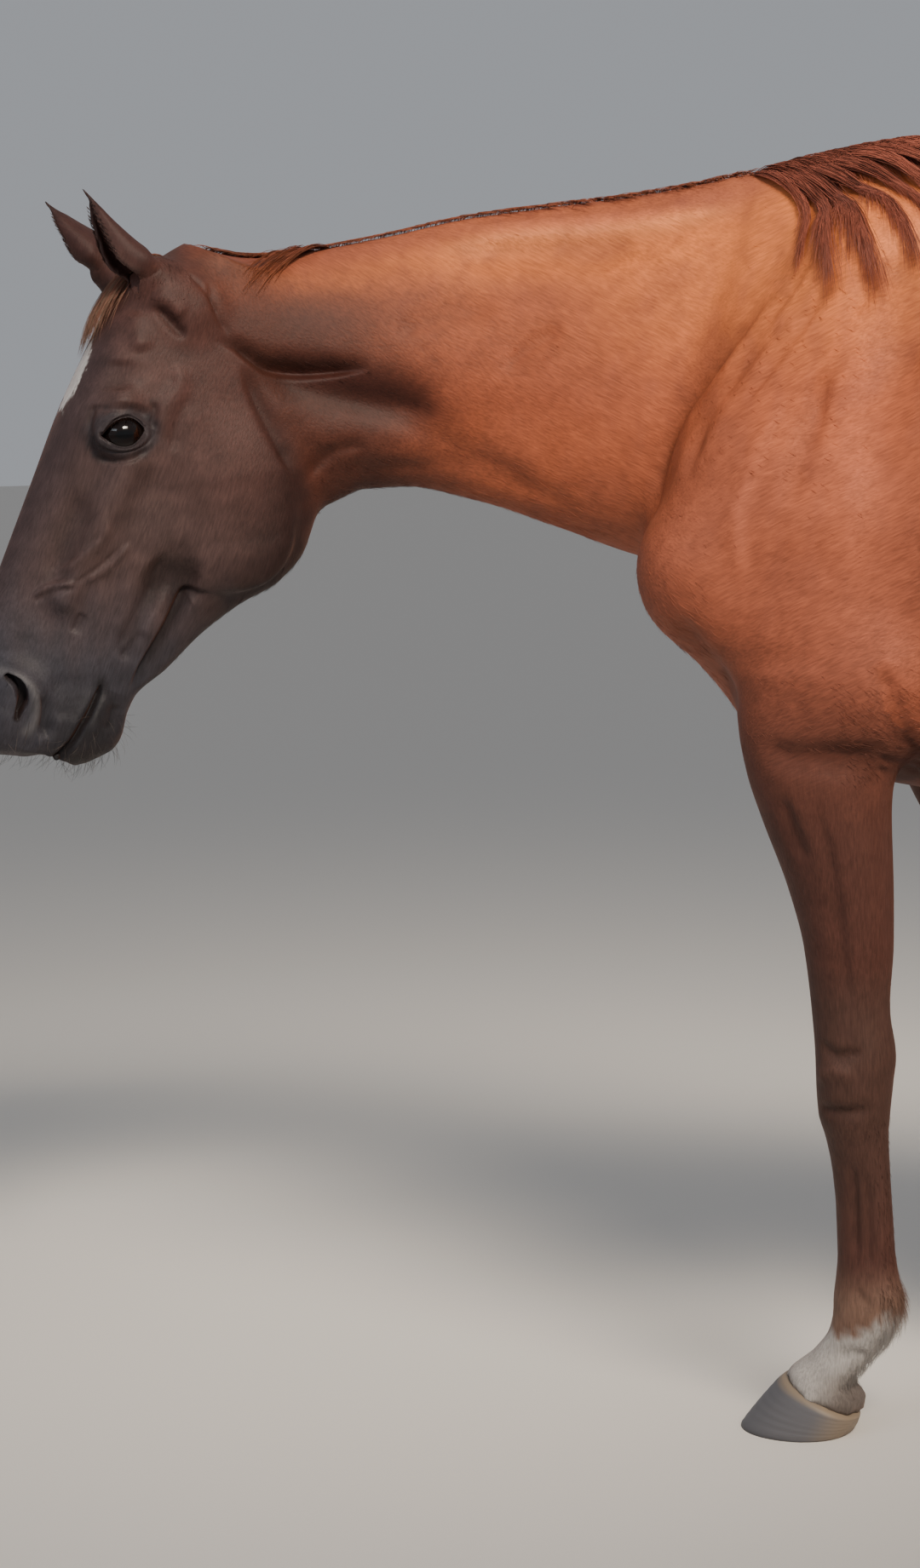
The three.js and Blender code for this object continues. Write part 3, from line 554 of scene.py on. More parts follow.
points, faces = joined([n for n in FLESH if not n.startswith("ear")] + list(EYES))
EAR_TREES = []
for name in EARS:
    v, f = ear_solid(name)
    EAR_TREES.append(BVHTree.FromPolygons([Vector(q) for q in v], f))
    faces += [[i + len(points) for i in face] for face in f]
    points = np.vstack([points, v])
skin = mesh_object("skin", warp(points) / 1000, faces)
mod = skin.modifiers.new("remesh", "REMESH")
mod.mode = "VOXEL"
mod.voxel_size = VOXEL / 1000
mod.use_smooth_shade = True
bpy.context.view_layer.objects.active = skin
bpy.ops.object.modifier_apply(modifier=mod.name)
p = warp(coords(skin.data) * 1000, back=True)
print("skin after remesh:", len(p), "points")

# %% [markdown]
# ## Settling the skin
# The field gets what only the skin shows: the bulge of the lids over the eyeballs, the coronet where
# each leg ends at its hoof, and the bulbs of the heels. Points settle on it, with a little relaxing
# between. The ears aren't in the field and keep their own shape.

# %% Settle
EYE_R = 28.0
EYE_T, EYE_N, EYE_L = 252.0, 0.0, 82.0
LID = 3.2
EAR_ROOTS = [muscle(b - axis * 22, b + axis * 34 + look * (2 + 5 * share), 32, 29)
             for b, axis, across, look, length, share in EAR_FRAMES.values()]
CORONET = 64.0
CORONET_SLOPE = math.tan(math.radians(25))
BULB_BACK, BULB_SIDE, BULB_Z, BULB_R = 50, 20, 50, 19   # bulbs of the heel


def skin_field(p):
    """The body's field with the bulge of the lids, the roots of the ears, heels and coronets."""
    d = body_field(p)
    t, n, l = head_coords(p)
    r = np.sqrt((t - EYE_T) ** 2 + (n - EYE_N) ** 2 + (np.abs(l) - EYE_L) ** 2)
    d = blend(d, r - EYE_R - LID, 12)
    crown = np.abs(t - 40) + np.abs(n - 20) < 260
    for root in EAR_ROOTS:
        d[crown] = blend(d[crown], root(p[crown]), 38)
    low = p[:, 2] < 130
    if low.any():
        q = p[low]
        e = d[low]
        for leg in LEGS.values():
            here = leg.within(q, 115)
            if here.any():
                u, v = leg.local(q[here])
                z = q[here, 2]
                bulb = np.sqrt((u - BULB_BACK) ** 2 + (np.abs(v) - BULB_SIDE) ** 2 + (z - BULB_Z) ** 2)
                bulb = bulb - BULB_R
                f = blend(e[here], bulb, 16)
                # the skin ends at the tilted line of the coronet
                h = -(z - (CORONET - u * CORONET_SLOPE)) * 0.9
                e[here] = np.maximum(f, h) + np.maximum(6 - np.abs(f - h), 0) ** 2 / 24
        d[low] = e
    return d


def relax(p, edges, amount, rounds):
    """Draws each point toward the mean of its neighbours."""
    n = len(p)
    count = np.maximum(np.bincount(edges.ravel(), minlength=n), 1)[:, None]
    amount = amount if np.isscalar(amount) else amount[:, None]
    for _ in range(rounds):
        mean = np.stack([np.bincount(edges[:, 0], p[edges[:, 1], k], n)
                         + np.bincount(edges[:, 1], p[edges[:, 0], k], n) for k in range(3)], 1) / count
        p = p + (mean - p) * amount
    return p


def spread_out(mask, edges, rounds):
    """A mask as numbers from 0 to 1, blurred over the neighbours."""
    return relax(mask.astype(float)[:, None].repeat(3, 1), edges, 1.0, rounds)[:, 0]


def head_zone(p):
    """The space round the ears."""
    t, n, _ = head_coords(p)
    return (t > -80) & (t < 150) & (n > -40)


def ear_part(p):
    """1 on the free part of the ears, 0 on the head and body."""
    return np.where(head_zone(p), smooth(4.0, 12.0, skin_field(p)), 0)


def snapped(p, share):
    """Ear points moved onto the fine ear solids."""
    for i in np.nonzero(share > 0.5)[0]:
        q = Vector(p[i])
        hit = min((tree.find_nearest(q) for tree in EAR_TREES), key=lambda h: h[3])
        p[i] = hit[0]
    return p


edges = edges_of(skin.data)
# the muzzle is eased most, since its thin edges come out ragged
muzzle = head_coords(p)[0] > 600
p = relax(p, edges, np.where(muzzle, 0.5, 0.25), 3)
p = relax(p, edges, np.where(muzzle, 0.5, 0.0), 6)
ear_share = ear_part(p)
p = snapped(p, ear_share)
for k in range(3):
    q = settle(skin_field, p, -COAT_DEPTH, 2)
    p = p + (q - p) * (1 - ear_share)[:, None]
    if k < 2:
        p = relax(p, edges, 0.4 * (1 - 0.7 * ear_share), 1)
seam = spread_out((ear_share > 0.02) & (ear_share < 0.999), edges, 3)
p = relax(p, edges, np.minimum(1, seam * 1.5) * 0.5, 10)
set_coords(skin.data, to_world(p))
print("settled:", len(skin.data.polygons), "faces")

# %% [markdown]
# ## Folds, veins and muscle lines
# Each stroke is a line in side-view millimetres of its own region, pressed in (below zero) or raised
# by a depth, with a width on each side of the line and soft ends. Both sides of the animal get it.
# Regions: head (t, n), neck and trunk (place along, height), fore and hind leg (x, height).

# %% Strokes
# each row: depth, width on one side, on the other, line
STROKES = {
    "head": [
        (-12, 6, 13, [(398, -190), (412, -150), (463, -144), (530, -134), (560, -131)]),  # long jaw fold
        (-5, 9, 16, [(396, -112), (430, -104), (470, -100), (520, -92)]),  # second fold
        (4, 10, 10, [(405, -130), (450, -124), (520, -114)]),  # roll between them
        (-4, 6, 12, [(470, -118), (495, -112), (520, -100)]),
        (-13, 30, 40, [(395, -165), (398, -120), (392, -85)]),  # front of the cheek
        (5, 5, 8, [(372, -60), (405, -46), (431, -29), (446, -16)]),  # facial vein
        (-3.2, 4, 6, [(380, -52), (412, -38), (436, -22), (450, -8)]),
        (4.5, 5, 7, [(446, -14), (454, 2), (467, 18), (486, 30)]),  # its branch
        (-3.0, 4, 5, [(452, -16), (461, 1), (474, 16), (490, 26)]),
        (-3.5, 5, 9, [(477, -35), (490, -35), (508, -31)]),  # dimple
        (3.0, 5, 8, [(348, -17), (380, -23), (412, -8), (452, 22)]),
        (-6, 16, 26, [(330, 22), (400, 16), (470, 8)]),  # beside the nose
        (-7, 7, 9, [(88, 20), (96, 0), (105, -18), (112, -34)]),  # pit below the ear
        (5, 12, 14, [(74, 28), (80, 2), (92, -22)]),
        (5, 12, 18, [(100, 40), (128, 26), (150, 12)]),
        (-5, 22, 22, [(165, 40), (190, 30), (205, 22)]),  # hollow over the eye
        (4, 10, 14, [(140, -28), (168, -44), (206, -36), (240, -52)]),  # zygomatic ridge
        (-3, 8, 14, [(168, -62), (210, -58), (256, -66)]),
        (-2.5, 3, 4, [(72, -66), (56, -49), (42, -28), (31, 0)]),  # behind the ear
        (-6.5, 7, 13, [(593, -18), (610, -31), (627, -36), (638, -46), (643, -58)]),  # nostril fold
        (-3, 14, 20, [(560, -30), (590, -50), (620, -62)]),
        (3.5, 10, 14, [(655, -34), (650, -56), (640, -70)]),  # lip edge
        (-5, 10, 12, [(572, -118), (590, -122), (612, -120)]),  # chin groove
        (3, 8, 8, [(560, -100), (575, -104), (600, -103), (630, -99)]),  # lower lip roll
    ],
    "neck": [
        (-14, 6, 16, [(752, 1424), (724, 1416), (706, 1402), (678, 1384), (630, 1377), (540, 1381)]),
        (-13, 26, 34, [(712, 1396), (650, 1366), (600, 1350), (520, 1334), (430, 1314)]),  # dark hollow
        (4, 18, 24, [(650, 1312), (590, 1290), (520, 1272), (430, 1250)]),
        (-4, 15, 26, [(620, 1352), (493, 1306), (374, 1253), (300, 1220)]),  # jugular groove
        (-4, 12, 20, [(571, 1250), (447, 1256), (350, 1226), (254, 1190)]),
        (-7, 9, 16, [(716, 1395), (700, 1350), (682, 1310), (664, 1272), (650, 1240)]),  # behind the jaw
        (-4.5, 8, 14, [(634, 1238), (616, 1262), (590, 1280), (548, 1284)]),  # throat crease
        (7, 11, 24, [(440, 1532), (384, 1537), (287, 1541), (191, 1541), (93, 1552), (10, 1566)]),
        (-4, 10, 16, [(420, 1560), (300, 1568), (180, 1572), (60, 1582)]),
        (-6, 22, 26, [(440, 1512), (330, 1512), (220, 1508), (120, 1512)]),
        (-3.5, 10, 16, [(356, 1365), (318, 1396), (262, 1418)]),
        (-3.5, 14, 24, [(520, 1420), (440, 1440), (350, 1450)]),
        (-3.5, 5, 8, [(752, 1500), (740, 1450), (724, 1424)]),  # behind the poll
    ],
    "trunk": [
        (-8, 8, 22, [(5, 1462), (-13, 1443), (-81, 1365), (-139, 1295), (-167, 1222), (-175, 1150)]),
        (5, 16, 22, [(34, 1425), (-50, 1345), (-108, 1275), (-142, 1200)]),
        (-3, 5, 9, [(60, 1500), (26, 1452), (-20, 1396), (-64, 1346)]),  # fine lines to the withers
        (-3, 5, 9, [(96, 1480), (60, 1424), (10, 1362), (-40, 1300)]),
        (-3, 6, 10, [(150, 1452), (110, 1400), (76, 1330), (66, 1260)]),
        (4, 12, 18, [(30, 1330), (-10, 1250), (-30, 1170), (-20, 1090)]),
        (-5.5, 9, 18, [(12, 1408), (-49, 1343), (-84, 1293), (-108, 1226)]),
        (-5, 12, 20, [(80, 1362), (57, 1268), (42, 1180)]),
        (-4, 10, 16, [(-72, 1313), (-26, 1373), (24, 1428)]),
        (4, 22, 34, [(112, 1560), (100, 1440), (108, 1307), (115, 1186), (110, 1080)]),  # blade's ridge
        (-6, 24, 30, [(170, 1520), (165, 1420), (180, 1300)]),
        (-8, 14, 26, [(-14, 905), (56, 892), (104, 893), (150, 908)]),  # under the triceps
        (-7, 16, 30, [(-120, 1070), (-83, 1001), (-50, 935)]),  # chest furrow
        (-6, 10, 18, [(150, 1010), (168, 940), (172, 880)]),  # behind the elbow
        (-3, 5, 7, [(131, 876), (150, 850)]),
        (-3, 5, 7, [(138, 892), (160, 866)]),
        (-4, 26, 34, [(300, 1240), (420, 1160), (600, 1080), (800, 1060)]),  # barrel
        (-8, 30, 40, [(950, 1420), (930, 1300), (960, 1180)]),  # flank
        (-5, 18, 30, [(1120, 1340), (1080, 1200), (1060, 1080)]),
        (-5, 12, 26, [(1230, 1400), (1250, 1280), (1240, 1140)]),  # thigh groove
    ],
    "fore": [
        (-4.5, 8, 14, [(18, 845), (33, 790), (48, 755)]),
        (-4, 7, 12, [(60, 850), (74, 760), (80, 660), (84, 560)]),
        (-5, 7, 9, [(30, 448), (49, 443), (77, 441), (104, 450)]),  # knee crease
        (3.5, 10, 10, [(28, 478), (60, 492), (88, 486)]),
        (-4, 6, 10, [(40, 530), (66, 514), (100, 520)]),
        (-5, 5, 7, [(74, 380), (75, 310), (74, 238)]),  # cannon and tendon
        (-4, 4, 6, [(92, 368), (92, 300), (91, 226)]),
        (-3, 6, 9, [(70, 215), (84, 200), (96, 184)]),
        (-4, 6, 10, [(42, 122), (66, 128), (88, 122)]),  # pastern
    ],
    "hind": [
        (-6, 10, 18, [(1398, 700), (1392, 640), (1404, 590)]),  # hamstring string
        (-5, 8, 12, [(1330, 560), (1336, 510), (1330, 460)]),
        (-4, 5, 8, [(1338, 400), (1338, 320), (1336, 235)]),
    ],
}


LINE_SAMPLES = 26


def line_points(pts):
    """A smooth line through the points."""
    q = np.array(pts, float)
    s = np.concatenate([[0], np.cumsum(np.linalg.norm(np.diff(q, axis=0), axis=1))])
    u = np.linspace(0, s[-1], LINE_SAMPLES)
    return np.stack([curve(list(zip(s, q[:, k])))(u) for k in (0, 1)], 1)


def from_line(a, b, pts, reach):
    """Signed distance from a line and share along it, for the points within reach of it."""
    q = line_points(pts)
    near = ((a > q[:, 0].min() - reach) & (a < q[:, 0].max() + reach)
            & (b > q[:, 1].min() - reach) & (b < q[:, 1].max() + reach))
    idx = np.nonzero(near)[0]
    best = np.full(len(idx), 1e9)
    sign = np.ones(len(idx))
    along = np.zeros(len(idx))
    x, y = a[idx], b[idx]
    for i in range(len(q) - 1):
        dx, dy = q[i + 1] - q[i]
        t = np.clip(((x - q[i, 0]) * dx + (y - q[i, 1]) * dy) / (dx * dx + dy * dy), 0, 1)
        ex, ey = x - q[i, 0] - t * dx, y - q[i, 1] - t * dy
        d = np.hypot(ex, ey)
        hit = d < best
        best[hit] = d[hit]
        sign[hit] = np.sign(dx * ey - dy * ex)[hit]
        along[hit] = ((i + t) / (len(q) - 1))[hit]
    return idx, best * sign, along


def regions(p, normal):
    """Side-view coordinates of each region, with how fully each point belongs to it."""
    out = {}
    t, n, l = head_coords(p)
    s, _ = neck_coords(p[:, 0], p[:, 1])
    z = p[:, 2]
    is_head = smooth(-30, 20, t) * smooth(-330, -290, n) * (s > 450)
    facing = np.abs(normal @ SIDE)
    out["head"] = (t, n, is_head * smooth(8, 26, np.abs(l)) * smooth(0.1, 0.45, facing))
    tube = neck_point(s)[2]
    side_n = np.abs(-normal[:, 0] * np.sin(tube) + normal[:, 1] * np.cos(tube))
    out["neck"] = (s, z, smooth(-40, 60, s) * smooth(0.15, 0.5, side_n) * (z > 1000))
    sideways = np.abs(normal[:, 1])
    out["trunk"] = (p[:, 0], z, (s < 400) * smooth(0.12, 0.5, sideways) * smooth(30, 60, np.abs(p[:, 1])))
    for kind in ("fore", "hind"):
        x = np.full(len(p), -9e3)           # far from every stroke
        share = np.zeros(len(p))
        for name, leg in LEGS.items():
            if name.startswith(kind):
                here = leg.within(p, 150) & (z < leg.top)
                x[here] = (p[:, 0] - leg.set(z))[here]
                share[here] = smooth(0.15, 0.5, sideways)[here]
        out[kind] = (x, z, share)
    return out


def stroke_relief(p, normal):
    """Millimetres by which the strokes raise or lower each point."""
    out = np.zeros(len(p))
    for region, (a, b, share) in regions(p, normal).items():
        for depth, wa, wb, pts in STROKES[region]:
            idx, d, along = from_line(a, b, pts, 3 * max(wa, wb))
            w = np.where(d > 0, wa, wb) * (0.6 + 0.4 * np.sin(np.pi * along))
            fade = smooth(0, 0.25, along) * smooth(1.0, 0.75, along)
            out[idx] += depth * fade * np.exp(-(d / w) ** 2) * share[idx]
    return out


# %% [markdown]
# ## Eyes, nostrils and mouth
# The skin over the eyeball opens in an almond between two corners. Inside it the skin drops past the
# ball, so each lid keeps a thick edge. The nostril is a comma-shaped pit with a raised rim, and the
# mouth is a deep line from its corner to the front of the lips.

# %% Face detail
EYE_TILT = math.atan2(25, 50)                 # the long axis of the opening, from straight forward
EYE_HALF = 27.0                               # half the length of the opening
LID_UP, LID_DOWN = 18.0, 16.5                 # heights of the lids over the long axis and under it
EYE_SHIFT = (-1.0, 1.5)                       # from the ball's centre to the opening's middle
EYE_ALONG = AXIS * math.sin(EYE_TILT) + FRONT * math.cos(EYE_TILT)
EYE_ACROSS = AXIS * math.cos(EYE_TILT) - FRONT * math.sin(EYE_TILT)


def eye_plane(t, n):
    """u along the opening toward the nose, v down across it."""
    a, b = t - EYE_T - EYE_SHIFT[0], n - EYE_N - EYE_SHIFT[1]
    c, s = math.cos(EYE_TILT), math.sin(EYE_TILT)
    return a * s + b * c, a * c - b * s


def eye_round(u, v, grow, grow_up):
    """1 on an oval round the opening, smaller inside it."""
    return np.hypot(u / (EYE_HALF + grow), v / (LID_UP + grow_up))


def lid_lines(u):
    """Height of the upper lid's edge above the long axis, and of the lower one below it."""
    q = np.clip(u / EYE_HALF, -1, 1)
    up = LID_UP * (1 - np.abs(q + 0.08) ** 2.3) * (1 - 0.16 * q)
    down = LID_DOWN * (1 - np.abs(q) ** 2.0) * (1 - 0.1 * q)
    return np.maximum(up, 0), np.maximum(down, 0)


def eye_gap(u, v):
    """Below zero inside the opening, in millimetres."""
    up, down = lid_lines(u)
    g = np.where(v < 0, -v - up, v - down) * 0.92
    return np.maximum(g, (np.abs(u) - EYE_HALF) * 0.8)


# depth, width on each side, line: before the eye, under it, behind it, over it
EYE_FOLDS = [
    (-3.6, 3.2, 4.5, [(227, 31), (236, 45), (252, 44), (268, 39), (284, 29), (293, 17)]),
    (-3.0, 3.0, 5.0, [(290, 24), (290, 6), (284, -11), (272, -26), (254, -37)]),
    (-3.0, 3.5, 5.0, [(200, -20), (212, -26), (224, -28), (233, -38)]),
    (-2.2, 3.5, 5.0, [(236, 42), (226, 18), (219, -4), (219, -24)]),
    (1.6, 4.0, 5.0, [(222, 34), (212, 12), (208, -8), (211, -24)]),
]
NOSTRIL = [(588, 24), (592, 12), (601, 2), (616, -4), (632, -4)]         # the dark slit
NOSTRIL_RIM = [(584, 34), (583, 16), (588, -3), (601, -17), (616, -24), (632, -27), (645, -22)]
MOUTH = [(554, -90), (564, -92), (578, -91), (597, -89), (614, -86), (633, -83), (650, -78), (676, -66)]
FACE_REACH = 30


def face_detail(p, normal):
    """Moves points for lids, nostrils and lips; returns the new points."""
    t, n, l = head_coords(p)
    p = p.copy()
    # wrinkles round the lids: a raised edge, then a groove that is weaker above
    u, v = eye_plane(t, n)
    near = (np.hypot(u, v) < 75) & (np.abs(l) > 50)
    g = (eye_round(u, v, 3, 1) - 1) * (LID_UP + 4)
    groove = 1.3 * np.exp(-((g - 6.0) / 1.5) ** 2) * np.where(v < 0, 0.3, 1.0)
    ring = np.exp(-((g - 1.6) / 1.8) ** 2) - groove
    for depth, wa, wb, line in EYE_FOLDS:
        idx, d, along = from_line(t, n, line, 16)
        fade = smooth(0, 0.22, along) * smooth(1.0, 0.78, along)
        ring[idx] += depth * fade * np.exp(-(d / np.where(d > 0, wa, wb)) ** 2)
    p[near] += normal[near] * ring[near, None]
    # nostril: rim, then pit
    idx, d, along = from_line(t, n, NOSTRIL_RIM, FACE_REACH)
    ok = np.abs(l[idx]) > 12
    idx, d, along = idx[ok], d[ok], along[ok]
    h = 4.5 * np.exp(-(d / np.where(d > 0, 7, 9)) ** 2) * smooth(0, 0.2, along) * smooth(1.0, 0.8, along)
    p[idx] += normal[idx] * h[:, None]
    idx, d, along = from_line(t, n, NOSTRIL, FACE_REACH)
    ok = np.abs(l[idx]) > 12
    idx, d, along = idx[ok], np.abs(d[ok]), along[ok]
    wide = 2.2 + 5.2 * np.sin(np.pi * np.clip(along * 0.92 + 0.06, 0, 1)) ** 0.8
    inward = -SIDE[None] * np.sign(l)[idx, None] * 15 - AXIS[None] * 9 + FRONT[None] * 2
    p[idx] += inward * smooth(1.15, 0.55, d / wide)[:, None]
    # mouth: a groove that grows shallow toward the front, with a roll on each side of it
    idx, d, along = from_line(t, n, MOUTH, FACE_REACH)
    w = 2.6 + 1.6 * along
    groove = np.exp(-np.abs(d / w) ** 2.2) * smooth(0, 0.12, along)
    deep = 9.0 - 5.0 * smooth(0.7, 0.95, along)
    p[idx] -= normal[idx] * (deep * groove)[:, None]
    roll = np.exp(-((np.abs(d) - 9) / 5) ** 2) * smooth(0.05, 0.25, along)
    p[idx] += normal[idx] * (1.8 * roll)[:, None]
    return p


def eye_centre(side):
    return head_point(EYE_T, EYE_N, side * EYE_L)


def open_eyes(p):
    """Drops the skin inside the almond behind the eyeball and firms the edges of the lids."""
    t, n, l = head_coords(p)
    u, v = eye_plane(t, n)
    g = eye_gap(u, v)
    for side in (-1, 1):
        c = eye_centre(side)
        near = (g < 5) & (l * side > EYE_L - 20) & (np.hypot(u, v) < 50)
        w = (p[near] - c) @ (SIDE * side)
        rho = (t[near] - EYE_T) ** 2 + (n[near] - EYE_N) ** 2
        lid = np.sqrt(np.maximum((EYE_R + 1.8) ** 2 - rho, 60))
        deep = np.sqrt(np.maximum((EYE_R - 3.5) ** 2 - rho, 0)) - 4
        corner = smooth(0.8, 1.15, np.abs(u[near]) / EYE_HALF)
        new = w + (np.minimum(w, lid) - w) * smooth(5, 0.5, g[near]) * 0.85 * (1 - 0.9 * corner)
        new = new + (deep - new) * smooth(0.6, -1.4, g[near])
        p[near] += (SIDE * side)[None] * (new - w)[:, None]
    return p


def refine(me, chosen):
    """Splits every edge of the chosen faces once."""
    bm = bmesh.new()
    bm.from_mesh(me)
    bm.faces.ensure_lookup_table()
    faces = [bm.faces[i] for i in np.nonzero(chosen)[0]]
    edges = list({e for f in faces for e in f.edges})
    bmesh.ops.subdivide_edges(bm, edges=edges, cuts=1, use_grid_fill=True)
    bmesh.ops.triangulate(bm, faces=[f for f in bm.faces if len(f.verts) > 4])
    bm.to_mesh(me)
    bm.free()


FINE_STROKE = 19                            # strokes wider than this need no finer faces


def wanted_fine(me, level):
    """Faces that need splitting: level 0 near fine strokes too, level 1 near eyes, nostrils and
    mouth, level 2 only along the edges of the lids."""
    c = to_horse(read(me.polygons, "center").astype(float))
    t, n, l = head_coords(c)
    u, v = eye_plane(t, n)
    eye = (np.hypot(u, v) < (58 if level == 0 else 44)) & (np.abs(l) > 60)
    if level == 2:
        return (eye_gap(u, v) < 4) & (eye_gap(u, v) > -6) & (np.abs(l) > 70)
    out = eye.copy()
    for line, reach in ((NOSTRIL, 22), (MOUTH, 16)):
        idx, d, _ = from_line(t, n, line, reach)
        out[idx[np.abs(d) < reach / (1 + 0.5 * level)]] = True
    if level == 0:
        nor = read(me.polygons, "normal").astype(float)
        for region, (a, b, share) in regions(c, nor).items():
            for _, wa, wb, pts in STROKES[region]:
                reach = 2.0 * max(wa, wb)
                if reach <= 2 * FINE_STROKE:
                    idx, d, _ = from_line(a, b, pts, reach)
                    out[idx[(np.abs(d) < reach) & (share[idx] > 0.05)]] = True
    return out


for level in (0, 1, 2):
    refine(skin.data, wanted_fine(skin.data, level))
    p = to_horse(coords(skin.data))
    ear_share = ear_part(p)
    q = settle(skin_field, p, -COAT_DEPTH, 1)
    # points that would jump from an ear to the head stay where they are
    hold = np.where(head_zone(p) & (np.linalg.norm(q - p, axis=1) > 1.5), 1, ear_share)
    p = p + (q - p) * (1 - hold)[:, None]
    set_coords(skin.data, to_world(p))
print("skin refined:", len(skin.data.polygons), "faces")


def pointed(p, ear_share):
    """Draws the top fifth of each ear together to a point a little farther out."""
    p = p.copy()
    for b, axis, across, look, length, _ in EAR_FRAMES.values():
        q = p - b
        u = q @ axis / length
        near = (ear_share > 0.5) & (np.hypot(q @ across, q @ look) < 60) & (u > 0.8)
        tip_u = u[near].max()
        end = p[near & (u > tip_u - 0.03)].mean(0)
        share = smooth(0.8, tip_u, u[near])[:, None]
        off = p[near] - end
        off = off - (off @ axis)[:, None] * axis
        p[near] += axis * 5 * share**2 - off * 0.68 * share
    return p


base = pointed(to_horse(coords(skin.data)), ear_share)
# points whose normal strays from the field's own are creases left by the splitting: they are eased
grad = unit(slope_of(skin_field, base)[1])
normal = normals_of(skin.data)
stray = (np.sum(grad * normal, 1) < 0.93) * (ear_share < 0.02) * ~head_zone(base)
edges = edges_of(skin.data)
base = relax(base, edges, np.minimum(1, 4 * spread_out(stray, edges, 2)) * 0.6, 6)
set_coords(skin.data, to_world(base))
print("eased points:", int(stray.sum()))
normal = normals_of(skin.data)
relief = stroke_relief(base, normal) * (1 - ear_share)
p = base + normal * relief[:, None]
set_coords(skin.data, to_world(p))
p = face_detail(p, normals_of(skin.data))
p = open_eyes(p)
set_coords(skin.data, to_world(p))

# %% [markdown]
# ## Colours and markings
# One function gives the coat's colour at any place: bright chestnut on neck and body, with painted
# light on the topline, a painted highlight along the neck's ridge, and painted shade low down, mid-neck,
# behind the jaw and under its fold; darker and greyer down the face, partly painted shade; grey bare
# skin at the muzzle and round the eyes, with painted shade in its creases; a white star, darker legs,
# partly painted shade, and a white near fore pastern dimmed by painted shade. The skin's points and
# the roots of all tufts use the same function.

# %% Colours
def lin(h):
    """An sRGB hex colour as linear values."""
    h = h.lstrip("#")
    out = []
    for i in (0, 2, 4):
        c = int(h[i:i + 2], 16) / 255
        out.append(c / 12.92 if c <= 0.04045 else ((c + 0.055) / 1.055) ** 2.4)
    return np.array(out + [1.0])


COAT = lin("#a05536")          # bright chestnut
COAT_PAINTED_LIGHT = lin("#c8713f")      # painted light on the topline
COAT_SHADE_AND_PATCHES = lin("#8a4d39")      # painted shade on belly and underside of the neck; also random darker patches
# painted shade in the middle of the neck
NECK_MID_SHADE = lin("#84452e")
NAPE = lin("#552f24")          # behind the ears
BEHIND_JAW_SHADE = lin("#44261e")    # painted shade on the neck next to the head
FOLD_SHADOW = lin("#42201a")        # painted shadow under the fold behind the jaw
# face and cheek: the head's own dark brown-grey, partly painted shade
FACE = lin("#483836")
CHEEK = lin("#482e29")
# painted shade under the jaw, nearly black
JAW = lin("#201514")
BROW = lin("#352b2e")          # forehead and front of the face, partly painted shade
MUZZLE = lin("#323137")        # grey bare skin
# painted highlight on the nostril's raised rim
NOSTRIL_RIM_HIGHLIGHT = lin("#565456")
# painted shade inside the nostril
NOSTRIL_PIT = lin("#1d1718")
# dark skin of the lid edges and ear tips, and painted shade in the mouth line, lid creases and round the
# lower lip
DARK_SKIN_AND_CREASE_SHADE = lin("#1d1b1d")
EYE_SKIN = lin("#2f2b2e")
WHITE = lin("#cdc9c4")
# darker legs and knees: own colour, partly painted shade
LEG = lin("#482c25")
KNEE = lin("#443029")
FETLOCK = lin("#7b6152")
EAR_BACK = lin("#402926")
EAR_IN = lin("#5d4741")
RIDGE_HIGHLIGHT = lin("#e08d52")   # painted highlight along the ridge of the neck
HAIR_DARK = lin("#4a271d")
HAIR_RED = lin("#8a4d3d")
HAIR_LIGHT = lin("#a8623f")
HAIR_GREY = lin("#806654")     # pale tips of the forelock
HEEL_SKIN = lin("#4d423c")     # darker grey-brown at the white foot's heel
# back edge of the head's own colour: place along the neck by height
JAW_EDGE = curve([(1040, 560), (1100, 600), (1163, 630), (1206, 638), (1271, 655), (1336, 690),
                  (1401, 726), (1455, 744), (1560, 762)])


def wobble(p, size, seed):
    """Soft random waves of about that size in millimetres, from -1 to 1."""
    r = np.random.default_rng(100 + seed)
    out = np.zeros(len(p))
    for _ in range(6):
        k = r.normal(size=3)
        k *= 2 * np.pi / (size * (0.7 + 0.8 * r.random())) / np.linalg.norm(k)
        out += np.sin(p @ k + r.random() * 6.28)
    return out / 3.2


def mix(base, color, share):
    share = np.clip(share, 0, 1)[:, None]
    return base * (1 - share) + np.asarray(color)[None] * share


RIDGE = [(470, 1516), (440, 1528), (384, 1534), (287, 1538), (191, 1539), (93, 1550), (10, 1564)]
FOLD_SHADE = [(690, 1392), (640, 1376), (580, 1362), (520, 1346), (455, 1322), (400, 1296)]


def band(a, b, line, reach, one_side, other_side, start=None, end=None):
    """1 on a line and less away from it, with its ends faded over shares of its length."""
    idx, d, along = from_line(a, b, line, reach)
    w = np.zeros(len(a))
    w[idx] = np.exp(-(d / np.where(d > 0, one_side, other_side)) ** 2)
    if start:
        w[idx] = w[idx] * smooth(0, start, along) * smooth(1.0, end, along)
    return w


